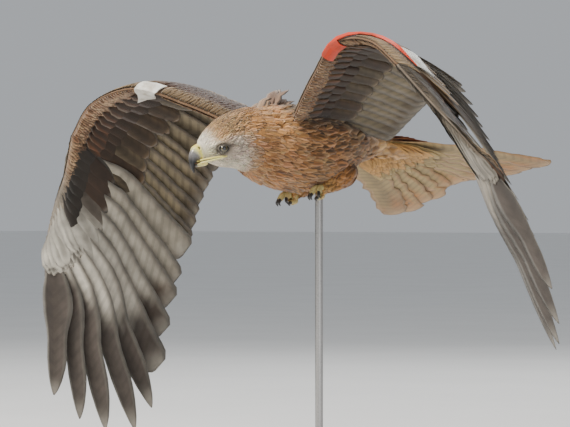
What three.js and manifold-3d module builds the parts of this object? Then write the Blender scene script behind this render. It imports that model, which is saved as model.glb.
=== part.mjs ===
import * as THREE from "three";
import { mergeVertices } from "three/addons/utils/BufferGeometryUtils.js";
import Module from "manifold-3d";

// Red kite in flight, life size, as a museum model on a display stand.
// Millimetres, +Z up. The bird flies along -Y, its left side is +X, the floor is z = 0.
// A "station" below is measured from the middle of the torso, +Y towards the tail.

const wasm = await Module();
wasm.setup();

// Driving dimensions

const GAP = 0.3;
const BODY_HEIGHT = 405;
const BANK = THREE.MathUtils.degToRad(8);
const HEAD_TURN = THREE.MathUtils.degToRad(-20);
const NECK_PIVOT_Y = -135;

const BODY_SIDES = 24;
const VANE_THICKNESS = 0.8;
const SHINGLE = THREE.MathUtils.degToRad(11);
const TIP_BLUNT = 0.16;

const EYE_RADIUS = 6.4;
const EYE_STATION = { side: 19.5, y: -17, z: -3 };

const SECONDARIES = 12;
const PRIMARIES = 10;
const ARM_COVERTS = 9;
const HAND_COVERTS = 6;
const RECTRICES = 12;
const TAIL_COVERTS = 6;

const TAIL_LENGTH = 325;
const TAIL_FORK = 62;
const TAIL_STACK = 9;
const TAIL_SPREAD_LEFT = THREE.MathUtils.degToRad(13);
const TAIL_SPREAD_RIGHT = THREE.MathUtils.degToRad(-31);
const TAIL_DROOP = THREE.MathUtils.degToRad(9);
const TAIL_TWIST = THREE.MathUtils.degToRad(10);

const BASE_RADIUS = 165;
const BASE_THICKNESS = 16;
const ROD_RADIUS = 5;
const ROD_Y = 8;

const COLOURS = {
  plumage: 0x7a4a2a,
  head: 0xc9b79c,
  flight: 0x3b3028,
  tail: 0x9a6238,
  cere: 0xe2c64a,
  horn: 0x35312f,
  eye: 0xb9a24c,
  foot: 0xd8b23e,
  tagRed: 0xc9603c,
  tagWhite: 0xf4f2ec,
  base: 0x4a3524,
  rod: 0x9a9c9e,
};

const v3 = (x, y, z) => new THREE.Vector3(x, y, z);

// Solids from three.js geometries

function toSolid(geometry) {
  const bare = geometry.clone();
  bare.deleteAttribute("normal");
  bare.deleteAttribute("uv");
  const merged = mergeVertices(bare, 1e-4);
  const vertProperties = new Float32Array(merged.attributes.position.array);
  const triVerts = new Uint32Array(merged.index.array);
  return new wasm.Manifold(new wasm.Mesh({ numProp: 3, vertProperties, triVerts }));
}

function toGeometry(solid) {
  const mesh = solid.getMesh();
  const geometry = new THREE.BufferGeometry();
  geometry.setAttribute("position", new THREE.BufferAttribute(mesh.vertProperties.slice(), 3));
  geometry.setIndex(new THREE.BufferAttribute(mesh.triVerts.slice(), 1));
  return geometry;
}

function largest(solid) {
  const pieces = solid.decompose();
  return pieces.reduce((best, piece) => (piece.volume() > best.volume() ? piece : best));
}

function joined(solids) {
  return solids.reduce((whole, solid) => whole.add(solid));
}

// A smooth curve of numbers through a few values at even steps.
function smoothValues(values) {
  const curve = new THREE.CatmullRomCurve3(values.map((value) => v3(value, 0, 0)));
  return (t) => curve.getPoint(THREE.MathUtils.clamp(t, 0, 1)).x;
}

// A round form along a curve: an open-ended cylinder's grid with flat caps, its rings moved to
// ellipses square to the curve. "wide" runs along the given side, "tall" square to it.
function sweptForm(place, tangentAt, wide, tall, sides, steps, side = v3(1, 0, 0), pad = 0) {
  const geometry = new THREE.CylinderGeometry(1, 1, 1, sides, steps);
  const position = geometry.attributes.position;
  for (let i = 0; i < position.count; i += 1) {
    const t = THREE.MathUtils.clamp(0.5 - position.getY(i), 0, 1);
    const tangent = tangentAt(t).normalize();
    const up = v3().crossVectors(tangent, side).normalize();
    const across = v3().crossVectors(up, tangent).normalize();
    const point = place(t)
      .addScaledVector(across, position.getX(i) * (wide(t) + pad))
      .addScaledVector(up, position.getZ(i) * (tall(t) + pad));
    position.setXYZ(i, point.x, point.y, point.z);
  }
  return outward(geometry);
}

// A thin or thick sheet on a grid: the same triangles on both faces and a wall around the rim.
function sheet(columns, rows, surface) {
  const plane = new THREE.PlaneGeometry(1, 1, columns, rows);
  const uv = plane.attributes.uv;
  const count = uv.count;
  const points = [];
  for (const face of [1, -1]) {
    for (let i = 0; i < count; i += 1) {
      const { point, normal, half } = surface(uv.getX(i), uv.getY(i));
      points.push(point.clone().addScaledVector(normal, face * half));
    }
  }
  const index = [];
  const grid = plane.index.array;
  for (let i = 0; i < grid.length; i += 3) {
    index.push(grid[i], grid[i + 1], grid[i + 2]);
    index.push(grid[i + 2] + count, grid[i + 1] + count, grid[i] + count);
  }
  const at = (column, row) => row * (columns + 1) + column;
  const rim = [];
  for (let c = 0; c < columns; c += 1) rim.push(at(c, 0));
  for (let r = 0; r < rows; r += 1) rim.push(at(columns, r));
  for (let c = columns; c > 0; c -= 1) rim.push(at(c, rows));
  for (let r = rows; r > 0; r -= 1) rim.push(at(0, r));
  rim.forEach((a, i) => {
    const b = rim[(i + 1) % rim.length];
    index.push(a, b, a + count, b, b + count, a + count);
  });
  const geometry = new THREE.BufferGeometry().setFromPoints(points);
  geometry.setIndex(index);
  return outward(geometry);
}

// The solid of a geometry, with its faces turned outward.
function outward(geometry) {
  const position = geometry.attributes.position;
  const index = geometry.index.array;
  const [a, b, c] = [v3(), v3(), v3()];
  let volume = 0;
  for (let i = 0; i < index.length; i += 3) {
    a.fromBufferAttribute(position, index[i]);
    b.fromBufferAttribute(position, index[i + 1]);
    c.fromBufferAttribute(position, index[i + 2]);
    volume += a.dot(v3().crossVectors(b, c));
  }
  if (volume < 0) {
    for (let i = 0; i < index.length; i += 3) {
      [index[i], index[i + 2]] = [index[i + 2], index[i]];
    }
  }
  return toSolid(geometry);
}

function movedSolid(geometry, matrix) {
  return toSolid(geometry.clone().applyMatrix4(matrix));
}

// Body: one spine from the bill's root to the tail's root, cut into head, neck, torso and rump

function headPoint(x, y, z) {
  return v3(x, y - 20, z)
    .applyAxisAngle(v3(0, 0, 1), HEAD_TURN)
    .add(v3(0, NECK_PIVOT_Y, 0));
}

// Each ring: centre, half width, half height.
const SPINE = [
  [headPoint(0, -38, -4), 8.5, 11.5],
  [headPoint(0, -28, 0), 16.5, 20],
  [headPoint(0, -14, 4), 23.5, 28],
  [headPoint(0, 8, 9), 28.5, 35.5],
  [headPoint(0, 28, 9), 33, 42],
  [v3(0, -102, 5), 42, 47],
  [v3(0, -70, 2), 52, 53],
  [v3(0, -32, 0), 58, 56],
  [v3(0, 8, 2), 56, 51],
  [v3(0, 46, 6), 44, 38],
  [v3(0, 78, 8), 33, 25],
  [v3(0, 108, 7), 26, 13],
  [v3(0, 134, 4), 21, 6],
];
const spineCurve = new THREE.CatmullRomCurve3(SPINE.map((ring) => ring[0]));
const spineWide = smoothValues(SPINE.map((ring) => ring[1]));
const spineTall = smoothValues(SPINE.map((ring) => ring[2]));
const ringAt = (number) => number / (SPINE.length - 1);
const HEAD_END = ringAt(3.6);
const NECK_END = ringAt(5.3);
const TORSO_END = ringAt(9.6);
const STRETCHES = {
  head: { from: 0, to: HEAD_END, steps: 12 },
  neck: { from: HEAD_END, to: NECK_END, steps: 5 },
  torso: { from: NECK_END, to: TORSO_END, steps: 14 },
  rump: { from: TORSO_END, to: 1, steps: 7 },
};

// One stretch of the body, or, with a clearance, the room that its neighbours keep out of.
function bodyStretch(name, clearance = 0) {
  const { from, to, steps } = STRETCHES[name];
  const trim = GAP / 2 - clearance;
  const start = (t) => from + (to - from) * t;
  const nudge = (t) => (t <= 0 ? trim : t >= 1 ? -trim : 0);
  const tangentAt = (t) => spineCurve.getTangent(start(t));
  const place = (t) => spineCurve.getPoint(start(t)).addScaledVector(tangentAt(t), nudge(t));
  const wide = (t) => spineWide(start(t));
  const tall = (t) => spineTall(start(t));
  return sweptForm(place, tangentAt, wide, tall, BODY_SIDES, steps, v3(1, 0, 0), clearance);
}

const headMatrix = new THREE.Matrix4()
  .makeTranslation(0, NECK_PIVOT_Y, 0)
  .multiply(new THREE.Matrix4().makeRotationZ(HEAD_TURN))
  .multiply(new THREE.Matrix4().makeTranslation(0, -20, 0));

function headPlaced(matrix) {
  return headMatrix.clone().multiply(matrix);
}

function ellipsoid(x, y, z, rx, ry, rz, detail = 14) {
  const sphere = new THREE.SphereGeometry(1, detail, Math.round(detail * 0.6));
  const matrix = new THREE.Matrix4().makeTranslation(x, y, z);
  matrix.multiply(new THREE.Matrix4().makeScale(rx, ry, rz));
  return movedSolid(sphere, headPlaced(matrix));
}

function eyeBall(sign, radius, detail = 14) {
  const { side, y, z } = EYE_STATION;
  return ellipsoid(sign * side, y, z, radius, radius, radius, detail);
}

// The lids: a ring around the eye, leaning with the side of the head.
function lids(sign) {
  const { side, y, z } = EYE_STATION;
  const ring = new THREE.TorusGeometry(EYE_RADIUS + 0.2, 1.7, 6, 14);
  const matrix = new THREE.Matrix4().makeTranslation(sign * (side + 2.1), y - 0.6, z);
  matrix.multiply(new THREE.Matrix4().makeRotationY(sign * THREE.MathUtils.degToRad(80)));
  matrix.multiply(new THREE.Matrix4().makeRotationX(THREE.MathUtils.degToRad(14)));
  return movedSolid(ring, headPlaced(matrix));
}

function brow(sign) {
  const ridge = new THREE.SphereGeometry(1, 10, 6);
  const matrix = new THREE.Matrix4().makeTranslation(sign * 20.5, -18.5, 5);
  matrix.multiply(new THREE.Matrix4().makeRotationX(THREE.MathUtils.degToRad(14)));
  matrix.multiply(new THREE.Matrix4().makeScale(5.5, 11, 2.8));
  return movedSolid(ridge, headPlaced(matrix));
}

// The corner of the mouth: a slit from the bill back under the eye.
function gape() {
  const slit = new THREE.BoxGeometry(60, 30, 1.2);
  const matrix = new THREE.Matrix4().makeTranslation(0, -36, -14.6);
  matrix.multiply(new THREE.Matrix4().makeRotationX(THREE.MathUtils.degToRad(12)));
  return movedSolid(slit, headPlaced(matrix));
}

function buildHead() {
  const form = bodyStretch("head");
  const raised = [lids(1), lids(-1), brow(1), brow(-1)];
  let head = joined([form, ...raised]);
  for (const sign of [1, -1]) head = head.subtract(eyeBall(sign, EYE_RADIUS + GAP));
  return largest(head.subtract(gape()));
}

// Bill: the cere, the hooked upper half and the lower half, each along its own curve

const BILL_RINGS = [
  [v3(0, -38, -2.2), 8, 9.8],
  [v3(0, -43.5, -4), 6.9, 8.6],
  [v3(0, -48, -8.5), 5.2, 6.6],
  [v3(0, -50.6, -15), 3.8, 4.4],
  [v3(0, -51, -22), 2.2, 2.5],
  [v3(0, -49.8, -28), 0.7, 0.8],
];
const LOWER_BILL_RINGS = [
  [v3(0, -34, -17.2), 7.4, 2.8],
  [v3(0, -40, -18.2), 6, 2.6],
  [v3(0, -45.6, -19.4), 4.2, 1.9],
  [v3(0, -47, -19.8), 2.4, 1.1],
];
const CERE_SHARE = 0.26;

function billForm(rings, from, to, steps) {
  const curve = new THREE.CatmullRomCurve3(rings.map((ring) => ring[0]));
  const wide = smoothValues(rings.map((ring) => ring[1]));
  const tall = smoothValues(rings.map((ring) => ring[2]));
  const along = (t) => from + (to - from) * t;
  const turned = (vector) => vector.applyAxisAngle(v3(0, 0, 1), HEAD_TURN);
  const place = (t) => curve.getPoint(along(t)).applyMatrix4(headMatrix);
  const tangentAt = (t) => turned(curve.getTangent(along(t)));
  const side = turned(v3(1, 0, 0));
  const wideAt = (t) => wide(along(t));
  const tallAt = (t) => tall(along(t));
  return sweptForm(place, tangentAt, wideAt, tallAt, 16, steps, side);
}

function nostril(sign) {
  return ellipsoid(sign * 7.4, -40.5, -1.5, 1.8, 2.1, 1.1, 8);
}

function buildBill() {
  const headFront = bodyStretch("head", GAP);
  const whole = billForm(BILL_RINGS, 0, CERE_SHARE, 3);
  let cere = whole.subtract(headFront);
  for (const sign of [1, -1]) cere = cere.subtract(nostril(sign));
  const upper = billForm(BILL_RINGS, CERE_SHARE + 0.012, 1, 10);
  const clearance = billForm(BILL_RINGS, 0, 1, 12);
  const lowered = clearance.translate([0, 0, -GAP]);
  const lower = billForm(LOWER_BILL_RINGS, 0, 1, 6).subtract(headFront).subtract(lowered);
  return {
    cere: largest(cere),
    bill_upper: largest(upper),
    bill_lower: largest(lower.subtract(clearance)),
  };
}

// Feathers

// A vane: a narrow sheet along a bent shaft, rooted at its thin end.
function vane({ root, tip, bow, normal, outer, width, twist, rows = 4 }) {
  const middle = root.clone().lerp(tip, 0.5).add(bow);
  const shaft = new THREE.QuadraticBezierCurve3(root, middle, tip);
  const breadth = (v) => {
    const grown = THREE.MathUtils.smoothstep(v, -0.25, 0.3);
    const rounded = v < 0.76 ? 1 : Math.sqrt(Math.max(TIP_BLUNT, 1 - ((v - 0.76) / 0.24) ** 2));
    return width * (0.35 + 0.65 * grown) * rounded;
  };
  return sheet(1, rows, (u, v) => {
    const along = shaft.getTangent(v).normalize();
    const across = outer.clone().addScaledVector(along, -outer.dot(along)).normalize();
    across.applyAxisAngle(along, twist);
    const face = v3().crossVectors(across, along).normalize();
    if (face.dot(normal) < 0) face.negate();
    const point = shaft.getPoint(v).addScaledVector(across, (u - 0.5) * breadth(v));
    return { point, normal: face, half: VANE_THICKNESS / 2 };
  });
}

// Half the thickness of the wing's front, at t along it and u from its nose to its rear line.
function halfThickness(thick, t, u) {
  const round = Math.sqrt(Math.min(1, u * 5 + 0.12));
  return thick * (1 - 0.35 * t) * round * Math.max(0.2, 1 - 0.72 * u);
}

const curveThrough = (points) => new THREE.CatmullRomCurve3(points, false, "centripetal");

// A stretch of wing between its leading edge and the line of its feather tips.
// "lead" and "tips" run outward from the body, "shares" place coverts between the two.
class WingStretch {
  constructor(lead, tips, arch) {
    this.lead = curveThrough(lead);
    this.tips = curveThrough(tips);
    this.arch = arch;
  }

  outerAt(t, share) {
    const step = 0.03;
    const from = this.flatPoint(Math.max(0, t - step), share);
    const to = this.flatPoint(Math.min(1, t + step), share);
    return to.sub(from).normalize();
  }

  flatPoint(t, share) {
    return this.lead.getPoint(t).lerp(this.tips.getPoint(t), share);
  }

  normalAt(t, share = 0.3) {
    const chord = this.tips.getPoint(t).sub(this.lead.getPoint(t));
    return v3().crossVectors(this.outerAt(t, share), chord).normalize();
  }

  point(t, share) {
    const lift = this.arch * Math.sin(Math.PI * Math.min(1, share)) * (1 - share);
    return this.flatPoint(t, share).addScaledVector(this.normalAt(t), lift);
  }

  // The fleshy front of the stretch with its small coverts, thick in front and thin behind.
  front(rearShare, thick, from, to, rows) {
    return sheet(6, rows, (u, v) => {
      const t = from + (to - from) * v;
      const point = this.point(t, rearShare * u);
      return { point, normal: this.normalAt(t), half: halfThickness(thick, t, u) };
    });
  }

  // One tier of vanes, from share to share, raised off the wing by "lift".
  tier({ count, rootShare, tipShare, width, lift, from, to, spread = 1 }) {
    const vanes = [];
    for (let i = 0; i < count; i += 1) {
      const t = from + ((to - from) * (i + 0.5)) / count;
      const normal = this.normalAt(t);
      const root = this.point(t, rootShare).addScaledVector(normal, lift * 0.15);
      const tipT = THREE.MathUtils.clamp(t * spread, 0, 1);
      const tip = this.point(tipT, tipShare).addScaledVector(normal, lift);
      const bow = normal.clone().multiplyScalar(this.arch * 0.25 + Math.abs(lift) * Math.sign(lift) * 0.4);
      const outer = this.outerAt(t, tipShare * 0.6);
      vanes.push(vane({ root, tip, bow, normal, outer, width: width(t), twist: -SHINGLE }));
    }
    return vanes;
  }
}

// Left wing, in the bird's own frame: leading edge from the shoulder to the wrist, then the hand.
// The two sides differ only in how far the hand's tips lift or droop from "HAND_TIPS".
const WRIST = v3(267, -155, 56);
const HAND_END = v3(350, -129, -62);
const ARM_LEAD = [v3(44, -86, 32), v3(106, -115, 71), v3(167, -141, 100), v3(230, -154, 90), WRIST];
const HAND_LEAD = [WRIST, v3(297, -144, 12), v3(324, -139, -22), HAND_END];
const ARM_TIPS = [v3(62, 92, 14), v3(108, 92, 40), v3(158, 85, 60), v3(230, 45, -13), v3(272, 36, -90)];
const HAND_TIPS = [
  v3(272, 36, -90),
  v3(301, 26, -147),
  v3(321, 14, -212),
  v3(336, -4, -298),
  v3(381, -52, -288),
  v3(420, -118, -205),
];
const HAND_LIFT = { left: 20, right: -24 };

const ARM_REAR = 0.44;
const ARM_THICK = 11;
const armHalf = (t, u) => halfThickness(ARM_THICK, t, u);

const armStretch = new WingStretch(ARM_LEAD, ARM_TIPS, 26);

function handStretch(side) {
  const last = HAND_TIPS.length - 1;
  const lifted = HAND_TIPS.map((tip, i) => tip.clone().add(v3(0, 0, (HAND_LIFT[side] * i) / last)));
  return new WingStretch(HAND_LEAD, lifted, 16);
}

// The plane between the innermost hand feather and the outermost arm feather, as two thick walls.
function wristWalls() {
  const a = WRIST;
  const b = ARM_TIPS[ARM_TIPS.length - 1];
  const c = a.clone().lerp(b, 0.5).add(armStretch.normalAt(1).multiplyScalar(100));
  const normal = v3().crossVectors(b.clone().sub(a), c.clone().sub(a)).normalize();
  if (normal.dot(HAND_END.clone().sub(a)) < 0) normal.negate();
  const reach = 900;
  const wall = (sign) => {
    const box = new THREE.BoxGeometry(reach, reach, reach);
    const turn = new THREE.Quaternion().setFromUnitVectors(v3(0, 0, 1), normal);
    const offset = sign * (reach / 2 - GAP / 2);
    const matrix = new THREE.Matrix4().makeRotationFromQuaternion(turn);
    matrix.setPosition(a.clone().addScaledVector(normal, offset));
    return movedSolid(box, matrix);
  };
  return { armSide: wall(-1), handSide: wall(1) };
}

function buildWing(side, tagRoom) {
  const walls = wristWalls();
  const handOf = handStretch(side);
  const arm = [armStretch.front(ARM_REAR, ARM_THICK, 0, 1, 8)];
  arm.push(...armStretch.tier({
    count: SECONDARIES, rootShare: 0.3, tipShare: 1, lift: 0, from: 0, to: 1,
    width: () => 27,
  }));
  arm.push(...armStretch.tier({
    count: ARM_COVERTS, rootShare: 0.2, tipShare: 0.6, lift: 8, from: 0, to: 1,
    width: () => 30,
  }));
  const hand = [handOf.front(0.3, 8, 0, 1, 6)];
  hand.push(...handOf.tier({
    count: PRIMARIES, rootShare: 0.14, tipShare: 1, lift: 0, from: 0, to: 1,
    width: (t) => 36 - 10 * t,
  }));
  hand.push(...handOf.tier({
    count: HAND_COVERTS, rootShare: 0.1, tipShare: 0.42, lift: 8, from: 0, to: 0.95,
    width: () => 25,
  }));
  const body = joined(["neck", "torso", "rump"].map((name) => bodyStretch(name, GAP)));
  return {
    arm: largest(joined(arm).subtract(walls.handSide).subtract(body).subtract(tagRoom)),
    hand: largest(joined(hand).subtract(walls.armSide)),
  };
}

// Tail: the rump's end and the fanned, forked feathers, the fan rolled with its right side low

function tailDirection(angle) {
  const flat = v3(Math.sin(angle), Math.cos(angle), 0);
  flat.applyAxisAngle(v3(0, 1, 0), -TAIL_TWIST);
  return flat.applyAxisAngle(v3(1, 0, 0), -TAIL_DROOP);
}

function buildTail() {
  const rump = bodyStretch("rump");
  const root = v3(0, 92, 7);
  const up = v3(0, 0, 1).applyAxisAngle(v3(0, 1, 0), -TAIL_TWIST);
  const acrossTail = v3(1, 0, 0).applyAxisAngle(v3(0, 1, 0), -TAIL_TWIST);
  const pieces = [rump];
  const fan = (count, length, width, lift, spreadShare) => {
    for (let i = 0; i < count; i += 1) {
      const share = (i + 0.5) / count;
      const angle = THREE.MathUtils.lerp(TAIL_SPREAD_RIGHT, TAIL_SPREAD_LEFT, share) * spreadShare;
      const fromMiddle = Math.abs(share - 0.5) * 2;
      const direction = tailDirection(angle);
      const start = root.clone().addScaledVector(acrossTail, (share - 0.5) * 30);
      const tip = start.clone().addScaledVector(direction, length(fromMiddle));
      tip.addScaledVector(up, lift);
      const side = share < 0.5 ? -1 : 1;
      const outer = v3().crossVectors(direction, up).multiplyScalar(side).normalize();
      const height = (1 - fromMiddle) * TAIL_STACK;
      start.addScaledVector(up, height);
      tip.addScaledVector(up, height);
      const bow = up.clone().multiplyScalar(lift * 0.5 + 3);
      pieces.push(vane({
        root: start, tip, bow, normal: up, outer, width: width(fromMiddle), twist: 0,
      }));
    }
  };
  fan(RECTRICES, (m) => TAIL_LENGTH - TAIL_FORK * (1 - m), (m) => 36 - 6 * m, 0, 1);
  fan(TAIL_COVERTS, (m) => 120 - 22 * m, () => 26, 13, 0.7);
  fan(TAIL_COVERTS, (m) => 140 - 26 * m, () => 28, -10, 0.8);
  return largest(joined(pieces));
}

// Legs: the feathered thigh, the foot tucked under the breast and its four curved claws

const THIGH = [v3(30, 26, -30), v3(31, 14, -38), v3(29, -6, -46), v3(26, -22, -54)];
const ANKLE = v3(26, -22, -54);
const TOES = [
  { lean: -0.35, reach: 18, drop: -5 },
  { lean: 0, reach: 22, drop: -6 },
  { lean: 0.4, reach: 18, drop: -5 },
];

const TOE_RADII = [3.8, 3.4, 2.6];

function tube(points, radii, sides, steps) {
  const curve = new THREE.CatmullRomCurve3(points);
  const radius = smoothValues(radii);
  const tangentAt = (t) => curve.getTangent(t);
  return sweptForm((t) => curve.getPoint(t), tangentAt, radius, radius, sides, steps);
}

function toePath(toe) {
  const ahead = v3(Math.sin(toe.lean), -Math.cos(toe.lean), 0);
  const start = ANKLE.clone().add(v3(0, -2, 0));
  const knuckle = start.clone().addScaledVector(ahead, toe.reach * 0.65).add(v3(0, 0, 1));
  const end = start.clone().addScaledVector(ahead, toe.reach).add(v3(0, 0, toe.drop));
  return [start, knuckle, end];
}

function hindPath() {
  const start = ANKLE.clone().add(v3(-3, 1, -1));
  return [start, start.clone().add(v3(-1, -2, -7)), start.clone().add(v3(-1, -10, -9))];
}

function clawFrom(path) {
  const toe = new THREE.CatmullRomCurve3(path);
  const end = toe.getPoint(1);
  const heading = toe.getTangent(1).normalize();
  const curl = v3(0, 0.75, -0.3);
  const base = end.clone().addScaledVector(heading, GAP);
  const middle = base.clone().addScaledVector(heading, 5).addScaledVector(curl, 1.5);
  const tip = middle.clone().addScaledVector(heading, 3).addScaledVector(curl, 6);
  return tube([base, middle, tip], [2.3, 1.7, 0.35], 8, 4);
}

function buildLeg() {
  const torso = bodyStretch("torso", GAP);
  const thighCurve = new THREE.CatmullRomCurve3(THIGH);
  const thighRadius = smoothValues([15, 14, 10, 5]);
  const ends = (t) => thighCurve.getPoint(t * 0.86);
  const thigh = sweptForm(ends, (t) => thighCurve.getTangent(t * 0.86), (t) => thighRadius(t * 0.86),
    (t) => thighRadius(t * 0.86), 16, 8);
  const thighGrown = sweptForm(ends, (t) => thighCurve.getTangent(t * 0.86), (t) => thighRadius(t * 0.86),
    (t) => thighRadius(t * 0.86), 16, 8, v3(1, 0, 0), GAP);
  const paths = [...TOES.map(toePath), hindPath()];
  const tarsus = tube([thighCurve.getPoint(0.7), ANKLE.clone().add(v3(0, -3, 0))], [4, 4.4], 10, 3);
  const toeTube = (path, clearance) => {
    return tube(path, TOE_RADII.map((radius) => radius + clearance), 7, 4);
  };
  const toes = paths.map((path) => toeTube(path, 0));
  const foot = joined([tarsus, ...toes]).subtract(torso).subtract(thighGrown);
  const nodes = { thigh: largest(thigh.subtract(torso)), foot: largest(foot) };
  const footRoom = joined([...paths.map((path) => toeTube(path, GAP)), torso, thighGrown]);
  paths.forEach((path, i) => {
    nodes[`claw_${i + 1}`] = largest(clawFrom(path).subtract(footRoom));
  });
  return nodes;
}

// Wing tags: a strip folded over the leading edge of each arm, and the left one's end panel

// Each has its flap on one face of the wing: 1 is the upper face and -1 the lower one.
const LEFT_TAG = {
  face: 1, from: 0.38, to: 0.53, slant: 4.5, slantShare: 0.1, topShare: 0.21, underShare: 0.07, flap: 3.5,
};
const RIGHT_TAG = {
  face: -1, from: 0.375, to: 0.475, slant: 0.7, slantShare: 0.2, topShare: 0.05, underShare: 0.17, flap: 8,
};
const TAG_HALF = 0.5;
const TAG_LIFT = 1;

// Part of a tag's strip, from "start" to "end" measured as shares of the wing's chord round its
// nose, negative below the wing. On the flap's face it slants outward as far as "slantShare", and
// the flap stands off the small feathers.
function tagStrip(tag, start, end, rows, clearance = 0) {
  return sheet(2, rows, (u, v) => {
    const turn = THREE.MathUtils.lerp(start, end, v);
    const share = Math.abs(turn);
    const across = (u - 0.5) * (1 + clearance * 0.06) + 0.5;
    const slanted = THREE.MathUtils.clamp(turn * tag.face, 0, tag.slantShare);
    const t = THREE.MathUtils.lerp(tag.from, tag.to, across) + tag.slant * slanted;
    const nose = THREE.MathUtils.clamp(1 - share / 0.05, 0, 1);
    const forward = armStretch.lead.getPoint(t).sub(armStretch.tips.getPoint(t)).normalize();
    const normal = armStretch.normalAt(t).multiplyScalar(Math.sign(turn) * (1 - nose));
    normal.addScaledVector(forward, nose).normalize();
    const flap = tag.flap * THREE.MathUtils.smoothstep(turn * tag.face, 0.02, 0.16);
    const out = armHalf(t, share / ARM_REAR) + TAG_LIFT + flap;
    const point = armStretch.point(t, share).addScaledVector(normal, out);
    return { point, normal, half: TAG_HALF + clearance };
  });
}

function buildTags() {
  const split = LEFT_TAG.slantShare;
  const strip = (clearance) => tagStrip(LEFT_TAG, -LEFT_TAG.underShare, split, 14, clearance);
  const panel = (clearance) => tagStrip(LEFT_TAG, split + 0.002, LEFT_TAG.topShare, 6, clearance);
  const right = (clearance) => {
    return tagStrip(RIGHT_TAG, -RIGHT_TAG.underShare, RIGHT_TAG.topShare, 20, clearance);
  };
  return {
    leftRoom: joined([strip(GAP), panel(GAP)]),
    rightRoom: right(GAP),
    left: strip(0),
    panel: panel(0),
    right: right(0),
  };
}

// Stand

function buildStand(torsoPlaced) {
  const base = new THREE.CylinderGeometry(BASE_RADIUS, BASE_RADIUS + 4, BASE_THICKNESS, 48);
  const baseMatrix = new THREE.Matrix4().makeRotationX(Math.PI / 2);
  baseMatrix.setPosition(0, 0, BASE_THICKNESS / 2);
  const rodBottom = BASE_THICKNESS + GAP;
  const rodLength = BODY_HEIGHT - rodBottom;
  const rod = new THREE.CylinderGeometry(ROD_RADIUS, ROD_RADIUS, rodLength, 24);
  const rodMatrix = new THREE.Matrix4().makeRotationX(Math.PI / 2);
  rodMatrix.setPosition(0, 0, rodBottom + rodLength / 2);
  return {
    stand_base: movedSolid(base, baseMatrix),
    stand_rod: largest(movedSolid(rod, rodMatrix).subtract(torsoPlaced)),
  };
}

// Assembly

const kite = new THREE.Group();
const pose = new THREE.Matrix4()
  .makeTranslation(0, -ROD_Y, BODY_HEIGHT)
  .multiply(new THREE.Matrix4().makeRotationY(-BANK));

function place(name, geometry, colour, roughness = 0.8, metalness = 0) {
  const material = new THREE.MeshStandardMaterial({ color: colour, roughness, metalness });
  const mesh = new THREE.Mesh(geometry, material);
  mesh.name = name;
  kite.add(mesh);
}

function addBird(name, solid, colour, roughness) {
  place(name, toGeometry(solid).applyMatrix4(pose), colour, roughness);
}

const mirrored = (solid) => solid.mirror([1, 0, 0]);

addBird("head", buildHead(), COLOURS.head);
addBird("neck", bodyStretch("neck"), COLOURS.plumage);
addBird("torso", bodyStretch("torso"), COLOURS.plumage);
addBird("tail", buildTail(), COLOURS.tail);
const bill = buildBill();
addBird("cere", bill.cere, COLOURS.cere, 0.5);
addBird("bill_upper", bill.bill_upper, COLOURS.horn, 0.35);
addBird("bill_lower", bill.bill_lower, COLOURS.cere, 0.45);
addBird("eye_left", eyeBall(1, EYE_RADIUS), COLOURS.eye, 0.1);
addBird("eye_right", eyeBall(-1, EYE_RADIUS), COLOURS.eye, 0.1);

const tags = buildTags();
const leftWing = buildWing("left", tags.leftRoom);
const rightWing = buildWing("right", tags.rightRoom);
addBird("wing_left_arm", leftWing.arm, COLOURS.flight);
addBird("wing_left_hand", leftWing.hand, COLOURS.flight);
addBird("wing_right_arm", mirrored(rightWing.arm), COLOURS.flight);
addBird("wing_right_hand", mirrored(rightWing.hand), COLOURS.flight);
addBird("tag_left", tags.left, COLOURS.tagRed, 0.6);
addBird("tag_left_panel", tags.panel, COLOURS.tagWhite, 0.6);
addBird("tag_right", mirrored(tags.right), COLOURS.tagWhite, 0.6);

const leg = buildLeg();
for (const [name, solid] of Object.entries(leg)) {
  const colour = name === "thigh" ? COLOURS.plumage : name === "foot" ? COLOURS.foot : COLOURS.horn;
  addBird(`${name}_left`, solid, colour);
  addBird(`${name}_right`, mirrored(solid), colour);
}

const torsoGrown = bodyStretch("torso", GAP);
const stand = buildStand(toSolid(toGeometry(torsoGrown).applyMatrix4(pose)));
place("stand_base", toGeometry(stand.stand_base), COLOURS.base, 0.5);
place("stand_rod", toGeometry(stand.stand_rod), COLOURS.rod, 0.3, 0.9);

export default kite;
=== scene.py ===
"""A red kite in flight, life size, on a display stand: skin, feathers, bill, eyes, feet and tags.

Every bird surface is worked out in the bird's own frame, in millimetres (-Y the way it flies,
+X its left, the origin in the middle of the torso), and is then banked and lifted on to the stand.
"""

from __future__ import annotations

import logging
import math
from dataclasses import dataclass, field
from enum import Enum
from typing import Callable, Sequence

import bmesh
import bpy
import numpy as np
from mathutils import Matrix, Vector


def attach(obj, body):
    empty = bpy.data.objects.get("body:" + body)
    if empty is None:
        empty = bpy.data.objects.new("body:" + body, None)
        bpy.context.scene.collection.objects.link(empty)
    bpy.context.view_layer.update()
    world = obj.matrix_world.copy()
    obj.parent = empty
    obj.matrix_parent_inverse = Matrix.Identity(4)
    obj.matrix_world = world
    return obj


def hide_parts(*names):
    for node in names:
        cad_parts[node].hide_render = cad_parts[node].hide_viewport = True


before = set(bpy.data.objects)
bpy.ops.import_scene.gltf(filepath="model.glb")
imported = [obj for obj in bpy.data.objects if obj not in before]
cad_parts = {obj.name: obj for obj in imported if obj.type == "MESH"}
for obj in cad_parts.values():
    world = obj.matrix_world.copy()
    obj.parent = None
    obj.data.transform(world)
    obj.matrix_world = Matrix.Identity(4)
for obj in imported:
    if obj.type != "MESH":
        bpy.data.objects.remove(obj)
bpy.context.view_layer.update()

log = logging.getLogger("red_kite")

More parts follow.
